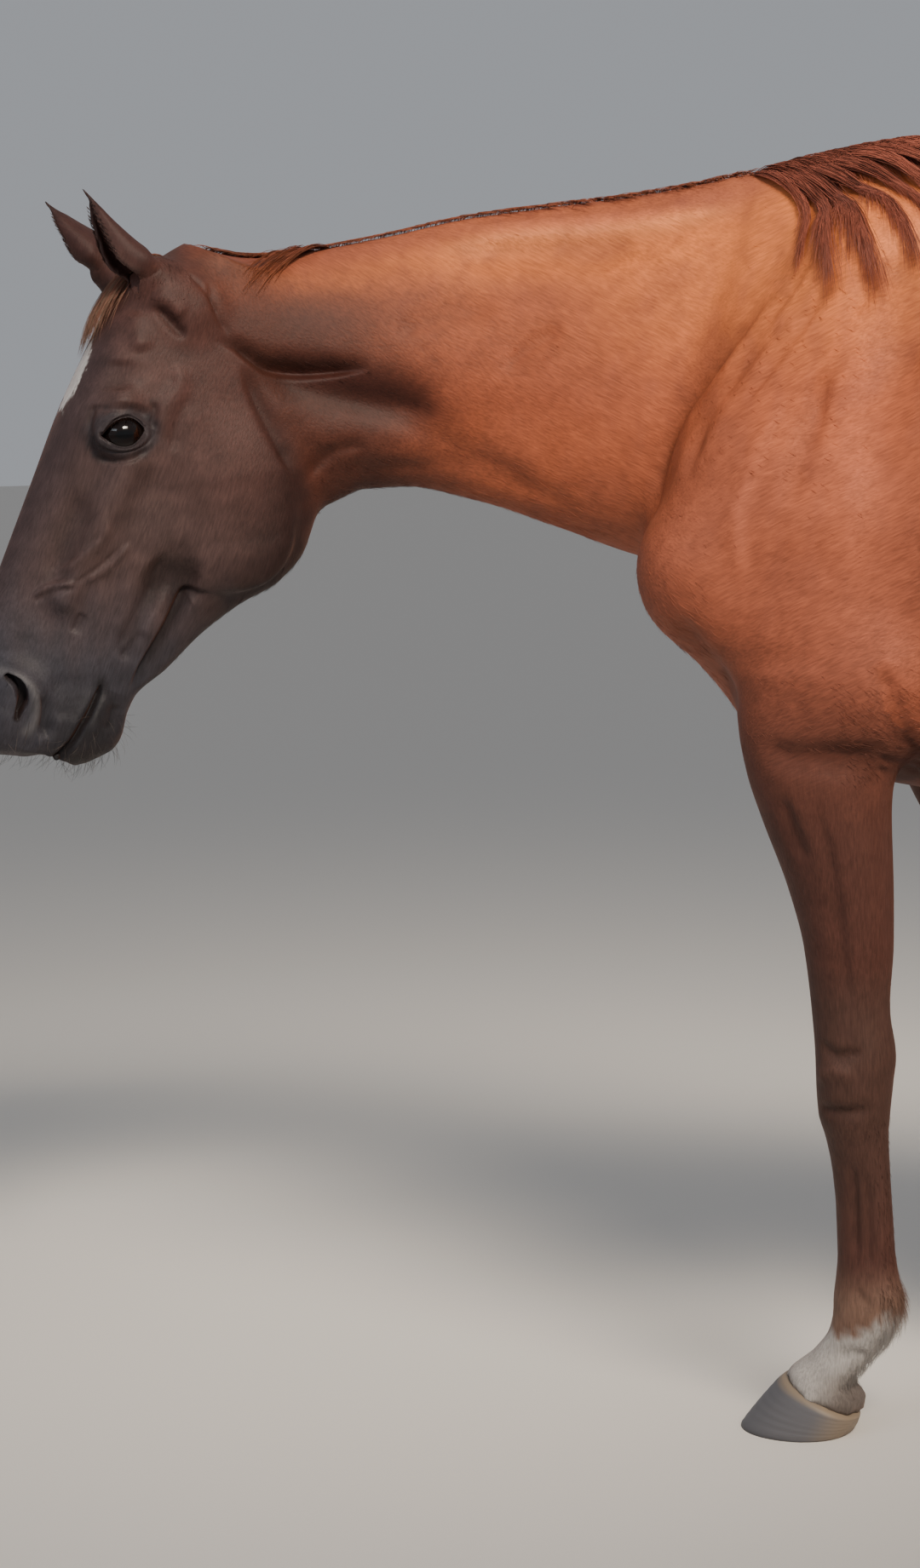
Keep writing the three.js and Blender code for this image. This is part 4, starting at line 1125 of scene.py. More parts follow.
def coat_tint(p, ear, relief_depth):
    """The coat's colour at each point, from its place, its share of ear and its relief, with painted light
    and shade.
    """
    t, n, l = head_coords(p)
    s, lat = neck_coords(p[:, 0], p[:, 1])
    z = p[:, 2]
    # body and neck: painted shade darker low down, painted light on the top, and random large soft patches
    c = np.repeat(COAT[None], len(p), 0)
    c = mix(c, COAT_SHADE_AND_PATCHES, smooth(1440, 980, z) * 0.85 + 0.25 * smooth(0.2, 1, wobble(p, 260, 1)))
    # painted light: the top of neck and body lighter
    c = mix(c, COAT_PAINTED_LIGHT, smooth(1310, 1510, z) * 0.95)
    patches = 0.6 * smooth(0.0, 1.0, wobble(p, 90, 2)) * 0.5
    c = mix(c, COAT_SHADE_AND_PATCHES, patches + 0.25 * smooth(0.1, 0.9, wobble(p, 34, 13)))
    c = mix(c, NAPE, smooth(610, 700, s) * smooth(1390, 1450, z) * 0.75)
    # painted shade in the middle of the neck
    c = mix(c, NECK_MID_SHADE, smooth(80, 300, s) * smooth(1530, 1450, z) * smooth(1270, 1340, z) * 0.8)
    jaw_shade = smooth(360, 640 - 80 * smooth(1420, 1360, z), s)
    c = mix(c, BEHIND_JAW_SHADE, jaw_shade * (0.97 - 0.5 * smooth(1440, 1500, z)))
    # painted shadow under the fold behind the jaw
    c = mix(c, FOLD_SHADOW, band(s, z, FOLD_SHADE, 90, 13, 30, 0.2, 0.6) * (np.abs(lat) > 25) * 0.75)
    # head: its own darker colour, partly painted shade
    soft = 26 + 36 * smooth(1320, 1440, z)
    back = JAW_EDGE(z)
    head = smooth(back - soft, back + soft * 0.7, s + 5 * wobble(p, 30, 14)) * smooth(-60, 10, t)
    c = mix(c, CHEEK, head * 0.96)
    c = mix(c, FACE, head * smooth(60, 330, t + n * 0.6))
    # painted shade along the underside of the jaw
    c = mix(c, JAW, head * smooth(-140, -260, n) * smooth(620, 470, t) * 0.88)
    c = mix(c, BROW, head * smooth(25, 72, n) * smooth(90, 180, t) * 0.6)
    c = mix(c, MUZZLE, head * smooth(400, 590, t + 18 * wobble(p, 40, 3) - 0.25 * n) * 0.96)
    c = c * (1 + 0.10 * head * wobble(p, 46, 15) + 0.06 * wobble(p, 17, 16))[:, None]
    c[:, 3] = 1
    # legs: darker, their own colour partly painted shade
    legs = (z < 980) & (s < 300)
    c = mix(c, LEG, legs * smooth(960, 760, z) * 0.95)
    # painted shade: the forelegs darker from the elbow down
    for key in ("fore_left", "fore_right"):
        c = mix(c, LEG, LEGS[key].within(p, 130) * smooth(1060, 880, z) * (s < 300) * 0.7)
    c = mix(c, KNEE, legs * smooth(640, 560, z) * smooth(180, 420, z) * 0.75)
    c = mix(c, FETLOCK, legs * smooth(250, 175, z) * 0.7)
    # bare skin: grey round the eyes, the lid edges dark skin and painted shade
    u, v = eye_plane(t, n)
    ring = (eye_round(u, v, 4, 3) - 1) * 22
    by_eye = (np.abs(l) > 50) & (np.hypot(u, v) < 80)
    c = mix(c, EYE_SKIN, by_eye * smooth(19, 3, ring + 3 * wobble(p, 16, 4)) * 0.85)
    c = mix(c, DARK_SKIN_AND_CREASE_SHADE, by_eye * smooth(1.2, -0.8, eye_gap(u, v)))
    # painted highlight on the nostril's raised rim
    c = mix(c, NOSTRIL_RIM_HIGHLIGHT, band(t, n, NOSTRIL_RIM, 26, 6.5, 6.5) * 0.75 * (t > 540))
    # painted shade in the mouth line
    c = mix(c, DARK_SKIN_AND_CREASE_SHADE, band(t, n, MOUTH, 26, 9, 9) * 0.85 * (t > 540))
    # painted shade inside the nostril's slit
    idx, d, _ = from_line(t, n, NOSTRIL, 26)
    w = np.zeros(len(p))
    w[idx] = smooth(7.5, 3.0, np.abs(d)) * (np.abs(l[idx]) > 8)
    c = mix(c, NOSTRIL_PIT, w)
    # painted shade in the creases round the lids
    for fold in EYE_FOLDS[:3]:
        c = mix(c, DARK_SKIN_AND_CREASE_SHADE, band(t, n, fold[3], 12, 4.0, 4.0) * 0.3 * (np.abs(l) > 45))
    # painted shade on the lower lip and under the lips
    lower_lip = (n < np.interp(t, *zip(*MOUTH))) * (t > 560) * (t < 670)
    c = mix(c, DARK_SKIN_AND_CREASE_SHADE, lower_lip * np.exp(-(n + 104) ** 2 / 22**2) * 0.5)
    c = mix(c, DARK_SKIN_AND_CREASE_SHADE, head * smooth(-30, -76, n) * smooth(556, 610, t) * 0.62)
    # star: a slanting patch in the middle of the forehead
    star = np.hypot((t - 205 + 9 * wobble(p, 22, 5)) / 50, (l + 11 + 3 * wobble(p, 12, 6)) / 34)
    c = mix(c, WHITE, smooth(1.1, 0.82, star + 0.12 * wobble(p, 7, 7)) * (n > 20) * 0.97)
    # near fore pastern, with a ragged upper edge, higher behind; its white dimmed by painted shade
    foot = LEGS["fore_left"].within(p, 90) & (z < 240)
    edge = 150 + 26 * smooth(60, 120, p[:, 0]) + 6 * wobble(p, 22, 8) + 3 * wobble(p, 8, 9)
    c = mix(c, WHITE * 0.62, foot * smooth(edge + 8, edge - 8, z) * 0.86)
    c = mix(c, HEEL_SKIN, foot * smooth(112, 70, z) * smooth(5, 50, p[:, 0]) * 0.85)
    # painted highlight along the ridge of the neck, on the near side
    c = mix(c, RIDGE_HIGHLIGHT, band(s, z, RIDGE, 40, 11, 11, 0.25, 0.8) * (lat < -15) * 0.5)
    # dark hair roots along the crest, red on both sides of them
    crest = smooth(15, 4, np.abs(lat - 5)) * (z > 1440) * smooth(-200, -150, s) * smooth(790, 730, s)
    c = mix(c, HAIR_DARK, crest * 0.75)
    red = 0.65 * smooth(60, 30, np.abs(lat - 4)) * (z > 1440)
    c = mix(c, HAIR_RED, red * smooth(-60, 20, s) * smooth(790, 730, s))
    c = mix(c, EAR_BACK, ear * 0.8)
    # painted shade in the grooves, painted light on the raised lines
    shade = (0.03 + 0.02 * head) * np.clip(relief_depth, -12, 0)
    shade = shade + 0.04 * (1 - head) * np.clip(relief_depth, 0, 7)
    c = c * (1 + shade)[:, None]
    c[:, 3] = 1
    return c


def add_color(me, rgba, name="tint"):
    a = me.color_attributes.new(name, "FLOAT_COLOR", "POINT")
    a.data.foreach_set("color", np.ascontiguousarray(rgba, dtype=np.float32).ravel())


normal = normals_of(skin.data)
tint = coat_tint(base, ear_share, relief)
# the hollow of each ear is lighter and its tip dark
for b, axis, across, look, length, _ in EAR_FRAMES.values():
    q = base - b
    u = q @ axis / length
    this_ear = (ear_share > 0.5) * (np.hypot(q @ across, q @ look) < 60)
    hollow = smooth(0.35, 0.9, normal @ look) * (u > 0.1) * (u < 1.05)
    tint = mix(tint, EAR_IN, this_ear * hollow * 0.6)
    tint = mix(tint, DARK_SKIN_AND_CREASE_SHADE, this_ear * smooth(0.72, 0.98, u) * 0.4)
add_color(skin.data, tint)


def lie_shares(p):
    """How much of each point's hair lies along the neck, the trunk, the legs and the face."""
    t, _, _ = head_coords(p)
    s, _ = neck_coords(p[:, 0], p[:, 1])
    z = p[:, 2]
    face = smooth(-20, 70, t) * smooth(JAW_EDGE(z) - 30, JAW_EDGE(z) + 20, s)
    leg = smooth(930, 780, z) * (1 - face)
    neck = smooth(-60, 120, s) * (1 - face) * (1 - leg)
    return np.stack([neck, 1 - face - leg - neck, leg, face], 1)


add_color(skin.data, lie_shares(base), "lie")

# %% [markdown]
# ## Materials
# Coat: satin hair, so a middle roughness, weak reflection and a little sheen; its bump is made of
# streaks that follow the lie of the hair, far coarser than real hairs, because those are too fine
# to show. Hair of mane and tail is a little glossier. Horn is dull, eyes are wet.

# %% Materials
def material(name):
    m = bpy.data.materials.new(name)
    m.use_nodes = True
    return m, m.node_tree.nodes["Principled BSDF"]


def node(m, kind, settings=None, links=None):
    """Adds a node with its settings (attributes or input values) and its links (input: socket)."""
    nd = m.node_tree.nodes.new(kind)
    for key, value in (settings or {}).items():
        if isinstance(key, str) and hasattr(nd, key):
            setattr(nd, key, value)
        else:
            nd.inputs[key].default_value = value
    for key, value in (links or {}).items():
        m.node_tree.links.new(value, nd.inputs[key])
    return nd


def plain(name, color, rough):
    m, b = material(name)
    b.inputs["Base Color"].default_value = tuple(color)
    b.inputs["Roughness"].default_value = rough
    return m


def tinted_material(name, rough, specular):
    """A finish that takes its colour from the points' tint."""
    m, b = material(name)
    tint = node(m, "ShaderNodeVertexColor", {"layer_name": "tint"})
    m.node_tree.links.new(tint.outputs["Color"], b.inputs["Base Color"])
    b.inputs["Roughness"].default_value = rough
    b.inputs["Specular IOR Level"].default_value = specular
    return m, b


# angle of the lie about the sideways axis: neck, trunk, legs, face
LIE_TURNS = (-28, 24, 90, 66)
STREAKS_PER_METRE = (45, 420, 420)          # each about 22 mm long and 2.4 mm across
PATCHES_PER_METRE = 34.0                    # soft lighter and darker patches about 30 mm wide


def coat_material():
    m, b = material("chestnut coat")
    tint = node(m, "ShaderNodeVertexColor", {"layer_name": "tint"})
    lie = node(m, "ShaderNodeVertexColor", {"layer_name": "lie"})
    split = node(m, "ShaderNodeSeparateColor", links={0: lie.outputs["Color"]})
    place = node(m, "ShaderNodeTexCoord").outputs["Object"]
    shares = [split.outputs[0], split.outputs[1], split.outputs[2], lie.outputs["Alpha"]]
    total = None
    for turn, share in zip(LIE_TURNS, shares):
        rot = node(m, "ShaderNodeMapping", {"Rotation": (0, math.radians(turn), 0)}, {"Vector": place})
        fine = node(m, "ShaderNodeMapping", {"Scale": STREAKS_PER_METRE}, {"Vector": rot.outputs[0]})
        hairs = node(m, "ShaderNodeTexNoise", {"Scale": 1.0, "Detail": 2.0, "Roughness": 0.6},
                     {"Vector": fine.outputs[0]})
        part = node(m, "ShaderNodeMath", {"operation": "MULTIPLY"}, {0: hairs.outputs["Fac"], 1: share})
        if total is None:
            total = part.outputs[0]
        else:
            both = node(m, "ShaderNodeMath", {"operation": "ADD"}, {0: total, 1: part.outputs[0]})
            total = both.outputs[0]
    broad = node(m, "ShaderNodeTexNoise",
                 {"Scale": PATCHES_PER_METRE, "Detail": 3.0, "Roughness": 0.55}, {"Vector": place})
    shade = node(m, "ShaderNodeMapRange", {1: 0.3, 2: 0.7, 3: 0.78, 4: 1.2}, {0: total})
    patch = node(m, "ShaderNodeMapRange", {1: 0.3, 2: 0.7, 3: 0.9, 4: 1.1}, {0: broad.outputs["Fac"]})
    both = node(m, "ShaderNodeMath", {"operation": "MULTIPLY"}, {0: shade.outputs[0], 1: patch.outputs[0]})
    color = node(m, "ShaderNodeVectorMath", {"operation": "SCALE"},
                 {0: tint.outputs["Color"], "Scale": both.outputs[0]})
    m.node_tree.links.new(color.outputs[0], b.inputs["Base Color"])
    bump = node(m, "ShaderNodeBump", {"Strength": 0.42, "Distance": 0.0014}, {"Height": total})
    soft = node(m, "ShaderNodeBump", {"Strength": 0.18, "Distance": 0.004},
                {"Height": broad.outputs["Fac"], "Normal": bump.outputs[0]})
    m.node_tree.links.new(soft.outputs[0], b.inputs["Normal"])
    b.inputs["Roughness"].default_value = 0.58
    b.inputs["Specular IOR Level"].default_value = 0.22
    b.inputs["Sheen Weight"].default_value = 0.05
    b.inputs["Sheen Roughness"].default_value = 0.4
    b.inputs["Sheen Tint"].default_value = tuple(lin("#ff9c66"))
    return m


M_COAT = coat_material()
# single tufts catch a little more light than the flat coat, and long smooth hair more again
M_TUFT, _ = tinted_material("short coat hair", 0.5, 0.25)
M_LONG, _ = tinted_material("mane and tail hair", 0.45, 0.22)
# dry horn has a broad dull reflection
M_HORN, _ = tinted_material("hoof horn", 0.55, 0.4)
# a film of tears gives the eye one small sharp highlight
M_EYE, wet = tinted_material("wet eye", 0.12, 0.2)
wet.inputs["Coat Weight"].default_value = 0.5
wet.inputs["Coat Roughness"].default_value = 0.02
wet.inputs["IOR"].default_value = 1.38
skin.data.materials.append(M_COAT)


def finish_piece(ob, slot, *nodes):
    """Smooth shading, its body and the nodes that it stands for; slot is not used."""
    for f in ob.data.polygons:
        f.use_smooth = True
    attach(ob, "root")
    if nodes:
        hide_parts(*nodes)
    print(ob.name, len(ob.data.polygons), "faces")
    return ob


finish_piece(skin, "coat", *FLESH)

# %% [markdown]
# ## Eyes
# Two glossy balls under the lids: a very dark brown iris with a long level pupil.

# %% Eyes
EYE_DARK = lin("#1f1512")
IRIS = lin("#100806")
PUPIL = lin("#040405")
PUPIL_SIZE = (0.42, 0.2)                    # half length and half height, as shares of the radius
CORNEA_RISE = 0.022                         # share of the radius by which the front bulges


def eyeball(name, side, rows=40, cols=64):
    c = eye_centre(side)
    out = SIDE * side
    verts, rgba = [], []
    for i in range(rows + 1):
        a = math.pi * i / rows
        for j in range(cols):
            b = 2 * math.pi * j / cols
            x, y, w = math.sin(a) * math.cos(b), math.sin(a) * math.sin(b), math.cos(a)
            bulge = EYE_R * (1 + CORNEA_RISE * float(smooth(0.62, 0.9, w)))
            verts.append(c + (EYE_ALONG * x + EYE_ACROSS * y + out * w) * bulge)
            from_pupil = math.hypot(x / PUPIL_SIZE[0], y / PUPIL_SIZE[1])
            pupil = float(smooth(1.15, 0.8, from_pupil)) if w > 0 else 0
            iris = float(smooth(0.93, 0.86, math.hypot(x, y))) if w > 0 else 0
            streak = 0.75 + 0.5 * abs(math.sin(b * 11 + math.sin(b * 5)))
            col = EYE_DARK * (1 - iris) + IRIS * iris * streak
            rgba.append(col * (1 - pupil) + PUPIL * pupil)
    ob = mesh_object(name, to_world(np.array(verts)), tube_faces(rows + 1, cols, inward=True))
    bm = bmesh.new()
    bm.from_mesh(ob.data)
    layer = bm.verts.layers.float_color.new("tint")
    for v in bm.verts:
        v[layer] = (*rgba[v.index][:3], 1)
    bmesh.ops.remove_doubles(bm, verts=bm.verts, dist=1e-6)
    bmesh.ops.recalc_face_normals(bm, faces=bm.faces)
    bm.to_mesh(ob.data)
    bm.free()
    ob.data.materials.append(M_EYE)
    return finish_piece(ob, "eye", name)


for name, side in EYES.items():
    eyeball(name, side)

# %% [markdown]
# ## Hooves
# Each hoof runs from a flat ground ring up to the tilted coronet, with faint growth rings and a pale
# band at the top. Its sole is flat on the floor. The near fore hoof is grey with beige heels.

# %% Hooves
SOLE_Z = 14.0                               # the floor, in the horse's frame
WALL_BULGE, RING_RISE = 0.028, 0.004        # shares of the hoof's radius
HORN_PALE = lin("#82725f")
HORN_TONES = {"fore_left": "#5d5c60", "fore_right": "#3f3a37",
              "hind_left": "#46403b", "hind_right": "#3f3a37"}


def hoof(name, leg, dark, around=72, rows=26):
    a = 2 * np.pi * np.arange(around) / around
    ca, sa = np.cos(a), np.sin(a)

    def ring(z0, drop):
        """The leg's outline at a height, or along a plane falling to the heel."""
        lo, hi = np.zeros(around), np.full(around, 160.0)
        for _ in range(22):
            r = (lo + hi) / 2
            z = z0 - r * ca * drop
            lx, ly = r * ca, r * sa
            x0, y0 = leg.centre(np.full(around, float(z0)))
            c, s = np.cos(leg.turn(z)), np.sin(leg.turn(z))
            q = np.stack([x0 + lx * c + ly * s, y0 - lx * s + ly * c, z], 1)
            inside = leg.field(q) < 0
            lo, hi = np.where(inside, r, lo), np.where(inside, hi, r)
        return q

    ground, crown = ring(SOLE_Z, 0.0), ring(CORONET + 2, CORONET_SLOPE)
    verts, rgba = [], []
    heel = smooth(0.2, 0.85, ca)
    for i, q in enumerate(np.linspace(0, 1, rows)):
        m = ground + (crown - ground) * q
        # the wall bulges a little, with growth rings, and rounds off at the sole and the coronet
        rings = np.sin(q * 46 + 0.8 * np.sin(3 * a)) * (q > 0.06)
        swell = 1 + WALL_BULGE * math.sin(math.pi * q) + RING_RISE * rings
        swell = swell * (0.985 if i == 0 else 1) * (1 - 0.05 * float(smooth(0.9, 1.0, q)))
        c0 = ground.mean(0) * (1 - q) + crown.mean(0) * q
        xy = c0[:2] + (m[:, :2] - c0[:2]) * swell[:, None]
        z = SOLE_Z + (crown[:, 2] - SOLE_Z) * q
        verts.append(np.column_stack([xy, z]))
        tone = dark * (0.92 + 0.1 * np.sin(q * 40 + np.sin(2 * a)) * 0.5)[:, None]
        pale = np.clip(heel * 0.8 + float(smooth(0.86, 0.99, q)) * 0.8, 0, 1)
        col = tone * (1 - pale[:, None]) + HORN_PALE[None] * pale[:, None]
        low = float(smooth(0.12, 0.0, q))
        rgba.append(col * (1 - 0.45 * low))
    top = verts[-1]
    verts.append(top.mean(0) + (top - top.mean(0)) * 0.55 + np.array([0, 0, 4.0]))
    rgba.append(rgba[-1])
    rgba = np.vstack(rgba)
    rgba[:, 3] = 1
    faces = tube_faces(rows + 1, around)
    faces.append(tuple(range(around))[::-1])
    faces.append(tuple(rows * around + j for j in range(around)))
    ob = mesh_object("hoof_" + name, to_world(np.vstack(verts)), faces)
    add_color(ob.data, rgba)
    ob.data.materials.append(M_HORN)
    ob.data.polygons[len(faces) - 2].use_smooth = False
    return finish_piece(ob, "hoof_horn", "hoof_" + name)


for name, leg in LEGS.items():
    hoof(name, leg, lin(HORN_TONES[name]))

# %% [markdown]
# ## Hair made of strands
# A strand is a thin closed solid: a row of three-sided rings along a path, thickest near its root and
# fine at its tip. Thousands are built at once from arrays. Each gets one small patch of the OFBake map
# at its root's place on an unwrap of the body: place along by angle round.

# %% Strand tools
def fast_solid(name, verts, quads, tris, quad_uv, tri_uv, rgba, mat):
    """A mesh object from arrays, with its OFBake map and its tint."""
    me = bpy.data.meshes.new(name)
    me.vertices.add(len(verts))
    me.vertices.foreach_set("co", np.ascontiguousarray(to_world(verts), dtype=np.float32).ravel())
    loops = np.concatenate([quads.ravel(), tris.ravel()]).astype(np.int32)
    me.loops.add(len(loops))
    me.loops.foreach_set("vertex_index", loops)
    me.polygons.add(len(quads) + len(tris))
    starts = np.concatenate([np.arange(len(quads)) * 4, len(quads) * 4 + np.arange(len(tris)) * 3])
    me.polygons.foreach_set("loop_start", starts.astype(np.int32))
    me.update(calc_edges=True)
    uv = me.uv_layers.new(name="OFBake")
    flat_uv = np.concatenate([quad_uv.reshape(-1, 2), tri_uv.reshape(-1, 2)])
    uv.data.foreach_set("uv", np.ascontiguousarray(flat_uv, dtype=np.float32).ravel())
    add_color(me, rgba)
    me.materials.append(mat)
    ob = bpy.data.objects.new(name, me)
    bpy.context.scene.collection.objects.link(ob)
    return ob


PATCH = 0.003                               # side of a strand's patch on the map
TIP_END = 0.04                              # width of the last ring, as a share
RING_ANGLES = (math.pi / 2, 7 * math.pi / 6, 11 * math.pi / 6)


def strands(name, paths, up, width, rgba, chart, mat, tip=0.18, flat=0.55, tip_color=None):
    """paths n x k x 3, up n x 3, width n, rgba n x 4; chart n x 2 in 0..1."""
    n, k, _ = paths.shape
    tan = unit(np.gradient(paths, axis=1))
    side = unit(np.cross(tan, np.repeat(up[:, None], k, 1)))
    lift = np.cross(side, tan)
    u = np.linspace(0, 1, k)
    w = np.minimum(1, 0.55 + 2.2 * u) * (1 - (1 - tip) * u ** 1.6)
    w[-1] = TIP_END
    w = (width[:, None] * w[None])[..., None] / 2
    ring = [paths + side * w * math.cos(a) + lift * w * flat * math.sin(a) for a in RING_ANGLES]
    verts = np.stack(ring, 2).reshape(-1, 3)
    base = (np.arange(n) * k * 3)[:, None, None]
    i, j = np.meshgrid(np.arange(k - 1), np.arange(3), indexing="ij")
    j2 = (j + 1) % 3
    quad = np.stack([i * 3 + j, i * 3 + j2, (i + 1) * 3 + j2, (i + 1) * 3 + j], -1).reshape(1, -1, 4)
    quads = (base + quad).reshape(-1, 4)
    tri = np.array([[0, 2, 1], [(k - 1) * 3, (k - 1) * 3 + 1, (k - 1) * 3 + 2]])[None]
    tris = (base + tri).reshape(-1, 3)
    corners = ((0, 0), (1, 0), (1, 1), (0, 1))
    q = np.stack([np.stack([(j + a) / 3, (i + b) / (k - 1)], -1) for a, b in corners], 2)
    q = q.reshape(1, -1, 4, 2) * PATCH
    centre = (0.004 + 0.99 * np.clip(chart, 0, 1) - PATCH / 2)[:, None, None]
    quad_uv = (centre + q).reshape(-1, 2)
    t = np.array([[[0, 0], [1, 0], [0.5, 0.3]], [[0, 1], [1, 1], [0.5, 0.8]]])[None] * PATCH
    tri_uv = (centre + t).reshape(-1, 2)
    shade = (0.8 + 0.2 * np.minimum(1, u * 4))[None, :, None]
    col = np.repeat(rgba[:, None, :], k, 1)
    if tip_color is not None:
        col = col + (np.asarray(tip_color)[None, None] - col) * (0.6 * u ** 1.5)[None, :, None]
    col = col * shade
    col[..., 3] = 1
    col = np.repeat(col[:, :, None], 3, 2).reshape(-1, 4)
    return fast_solid(name, verts, quads, tris, quad_uv, tri_uv, col, mat)


def body_normal(p):
    _, g = slope_of(body_field, p)
    return unit(g)


def held(p, low, high=None):
    """Pushes points out to at least a height over the body, and draws them in toward a greatest one."""
    f, g = slope_of(body_field, p)
    move = np.maximum(low - f, 0)
    if high is not None:
        move = move - 0.75 * np.maximum(f - high, 0)
    return p + unit(g) * move[:, None]


def fall(roots, start, length, steps, weight, height, curl, seed, over, pull, loose=4.0):
    """Paths that set out along start, bend toward the ground by their weight and lie on the body."""
    r = np.random.default_rng(seed)
    n = len(roots)
    path = [roots]
    d = unit(start)
    step = (length / (steps - 1))[:, None]
    phase = r.random((n, 3)) * 6.28
    for i in range(1, steps):
        u = i / (steps - 1)
        wave = np.sin(phase + u * 5.0 + r.normal(0, 0.35, (n, 3))) * curl
        d = unit(d + wave + np.array([0, 0, -1.0]) * weight * (0.35 + u) + pull * (1 - u))
        q = path[-1] + d * step
        low = height + over * math.sin(math.pi * min(1, u * 1.15))
        q = held(q, low, low + loose)
        d = unit(q - path[-1])
        path.append(path[-1] + d * step)
    return np.stack(path, 1)


def tinted(colors, n, spread=0.16):
    """n colours picked between the given ones, each a little lighter or darker."""
    colors = np.array(colors)
    a, b = rng.integers(0, len(colors), n), rng.integers(0, len(colors), n)
    k = rng.random((n, 1))
    out = (colors[a] * k + colors[b] * (1 - k)) * (1 + spread * rng.normal(size=(n, 1)))
    out[:, 3] = 1
    return np.clip(out, 0.002, 1)


# %% [markdown]
# ## Mane
# Short and thin. It grows along the crest and lies mostly on the off side. Over the withers long red
# locks fall on the near side and sweep back; behind the poll a few wisps stand out on the near side.

# %% Mane
DENSE = 1.0


def crest_points(s, l):
    """Points on the top of the neck or withers at a length s and a sideways place l."""
    x, y, a = neck_point(s)
    x, y = x - l * np.sin(a), y + l * np.cos(a)
    lo, hi = np.full(len(s), 1350.0), np.full(len(s), 1720.0)
    for _ in range(14):
        z = (lo + hi) / 2
        inside = body_field(np.stack([x, y, z], 1)) < 0
        lo, hi = np.where(inside, z, lo), np.where(inside, hi, z)
    return np.stack([x, y, lo], 1), a


def locks(name, rows, seed, width, steps, tip_color):
    """Locks of hair along the crest. Each row: place along, half width, side, length, sweep back,
    strands, shade, and how far the strands close up toward the lock's middle path."""
    r = np.random.default_rng(seed)
    paths, color, wide, chart = [], [], [], []
    for s0, half, side, length, sweep, count, shade, clump in rows:
        n = max(3, int(count * DENSE))
        s = np.concatenate([[s0], s0 + half * np.clip(r.normal(size=n) * 0.6, -1.2, 1.2)])
        l = 5 + side * np.abs(r.normal(0, 4.0, n + 1))
        l[0] = 5 + side * 3
        roots, a = crest_points(s, l)
        fwd = np.stack([-np.cos(a), -np.sin(a), 0 * a], 1)
        out = np.stack([-np.sin(a), np.cos(a), 0 * a], 1) * side
        drop = 0.02 if side < 0 else 0.5
        start = out * 0.62 - fwd * sweep - UP * drop + 0.05 * r.normal(size=(n + 1, 3))
        ln = length * (0.62 + 0.42 * r.random(n + 1))
        ln[0] = length
        weight = 0.36 / (0.6 + 0.4 * sweep) if sweep > 0 else 0.13
        rise = min(1, max(0.3, length / 140))
        q = fall(roots - UP * 3, start, ln, steps, weight, 0.8 + rise * 3 * r.random(n + 1), 0.02,
                 seed + 300 + int(s0), 2.5 * rise, -fwd * 0.04 * sweep, 4 * rise)
        mid, q = q[0], q[1:]
        share = ln[1:] / length
        at = np.linspace(0, 1, steps)[None] * share[:, None] * (steps - 1)
        i = np.clip(at.astype(int), 0, steps - 2)
        goal = mid[i] + (mid[i + 1] - mid[i]) * (at - i)[..., None]
        u = np.linspace(0, 1, steps)
        pull = clump * smooth(0.05, 0.6, u) * (1 - 0.35 * smooth(0.75, 1.0, u))
        q = q + (goal - q) * (pull[None] * (0.75 + 0.4 * r.random((n, 1))))[..., None]
        height = 1.0 + np.repeat(3.5 * r.random(n), steps) * np.tile(np.minimum(1, u * 4), n)
        q = held(q.reshape(-1, 3), height).reshape(n, steps, 3)
        q[:, 0] = roots[1:] - UP * 3
        paths.append(q)
        color.append(tinted([HAIR_DARK, HAIR_RED, HAIR_RED], n, 0.12) * shade)
        wide.append(width[0] + (width[1] - width[0]) * r.random(n))
        chart.append(np.stack([(s[1:] + 200) / 1000, 0.5 + l[1:] / 44 + 0.2 * (r.random(n) - 0.5)], 1))
    path = np.concatenate(paths)
    up = body_normal(path[:, steps // 2])
    return strands(name, path, up, np.concatenate(wide), np.concatenate(color),
                   np.concatenate(chart), M_LONG, tip_color=tip_color)


# near side over the withers: long locks first, then shorter ones lying back along the spine
WITHERS_LOCKS = [
    (24, 8, -1, 255, 1.05, 120, 0.95, 0.8), (12, 11, -1, 320, 1.0, 240, 0.88, 0.82),
    (-6, 12, -1, 345, 1.0, 250, 0.8, 0.82), (-26, 12, -1, 330, 1.15, 210, 0.92, 0.82),
    (-48, 12, -1, 310, 1.5, 210, 0.85, 0.74), (-70, 12, -1, 280, 2.0, 180, 1.1, 0.7),
    (-94, 13, -1, 270, 2.4, 180, 0.95, 0.7), (-118, 13, -1, 240, 2.7, 150, 1.15, 0.66),
    (-142, 14, -1, 205, 2.9, 120, 1.0, 0.6), (-166, 15, -1, 165, 3.0, 90, 1.15, 0.5),
    (-190, 16, -1, 115, 3.0, 60, 1.1, 0.4), (-216, 16, -1, 72, 3.0, 40, 1.15, 0.3)]
# a thick layer under them, so that little coat shows between the locks
WITHERS_LOCKS += [(s0, 18, -1, 150 + 0.25 * s0, 1.6, 105, 0.85, 0.25) for s0 in range(-198, 10, 29)]
WITHERS_LOCKS += [(s0, 17, 1, 150 + 0.3 * s0, 1.3, 64, 1.0, 0.5) for s0 in range(-210, 60, 27)]
# off side of the neck; near the ears the hair is shorter, darker and lies back
NECK_LOCKS = []
for s0 in range(70, 700, 26):
    share, back, dim = (1, 0.7, 1) if s0 < 640 else (0.5, 2.4, 0.75)
    NECK_LOCKS.append((s0 + 6 * math.sin(s0 * 2.1), 22, 1, (130 + 25 * math.sin(s0 * 0.7)) * share,
                       back, 84, dim + 0.12 * math.sin(s0), 0.4))
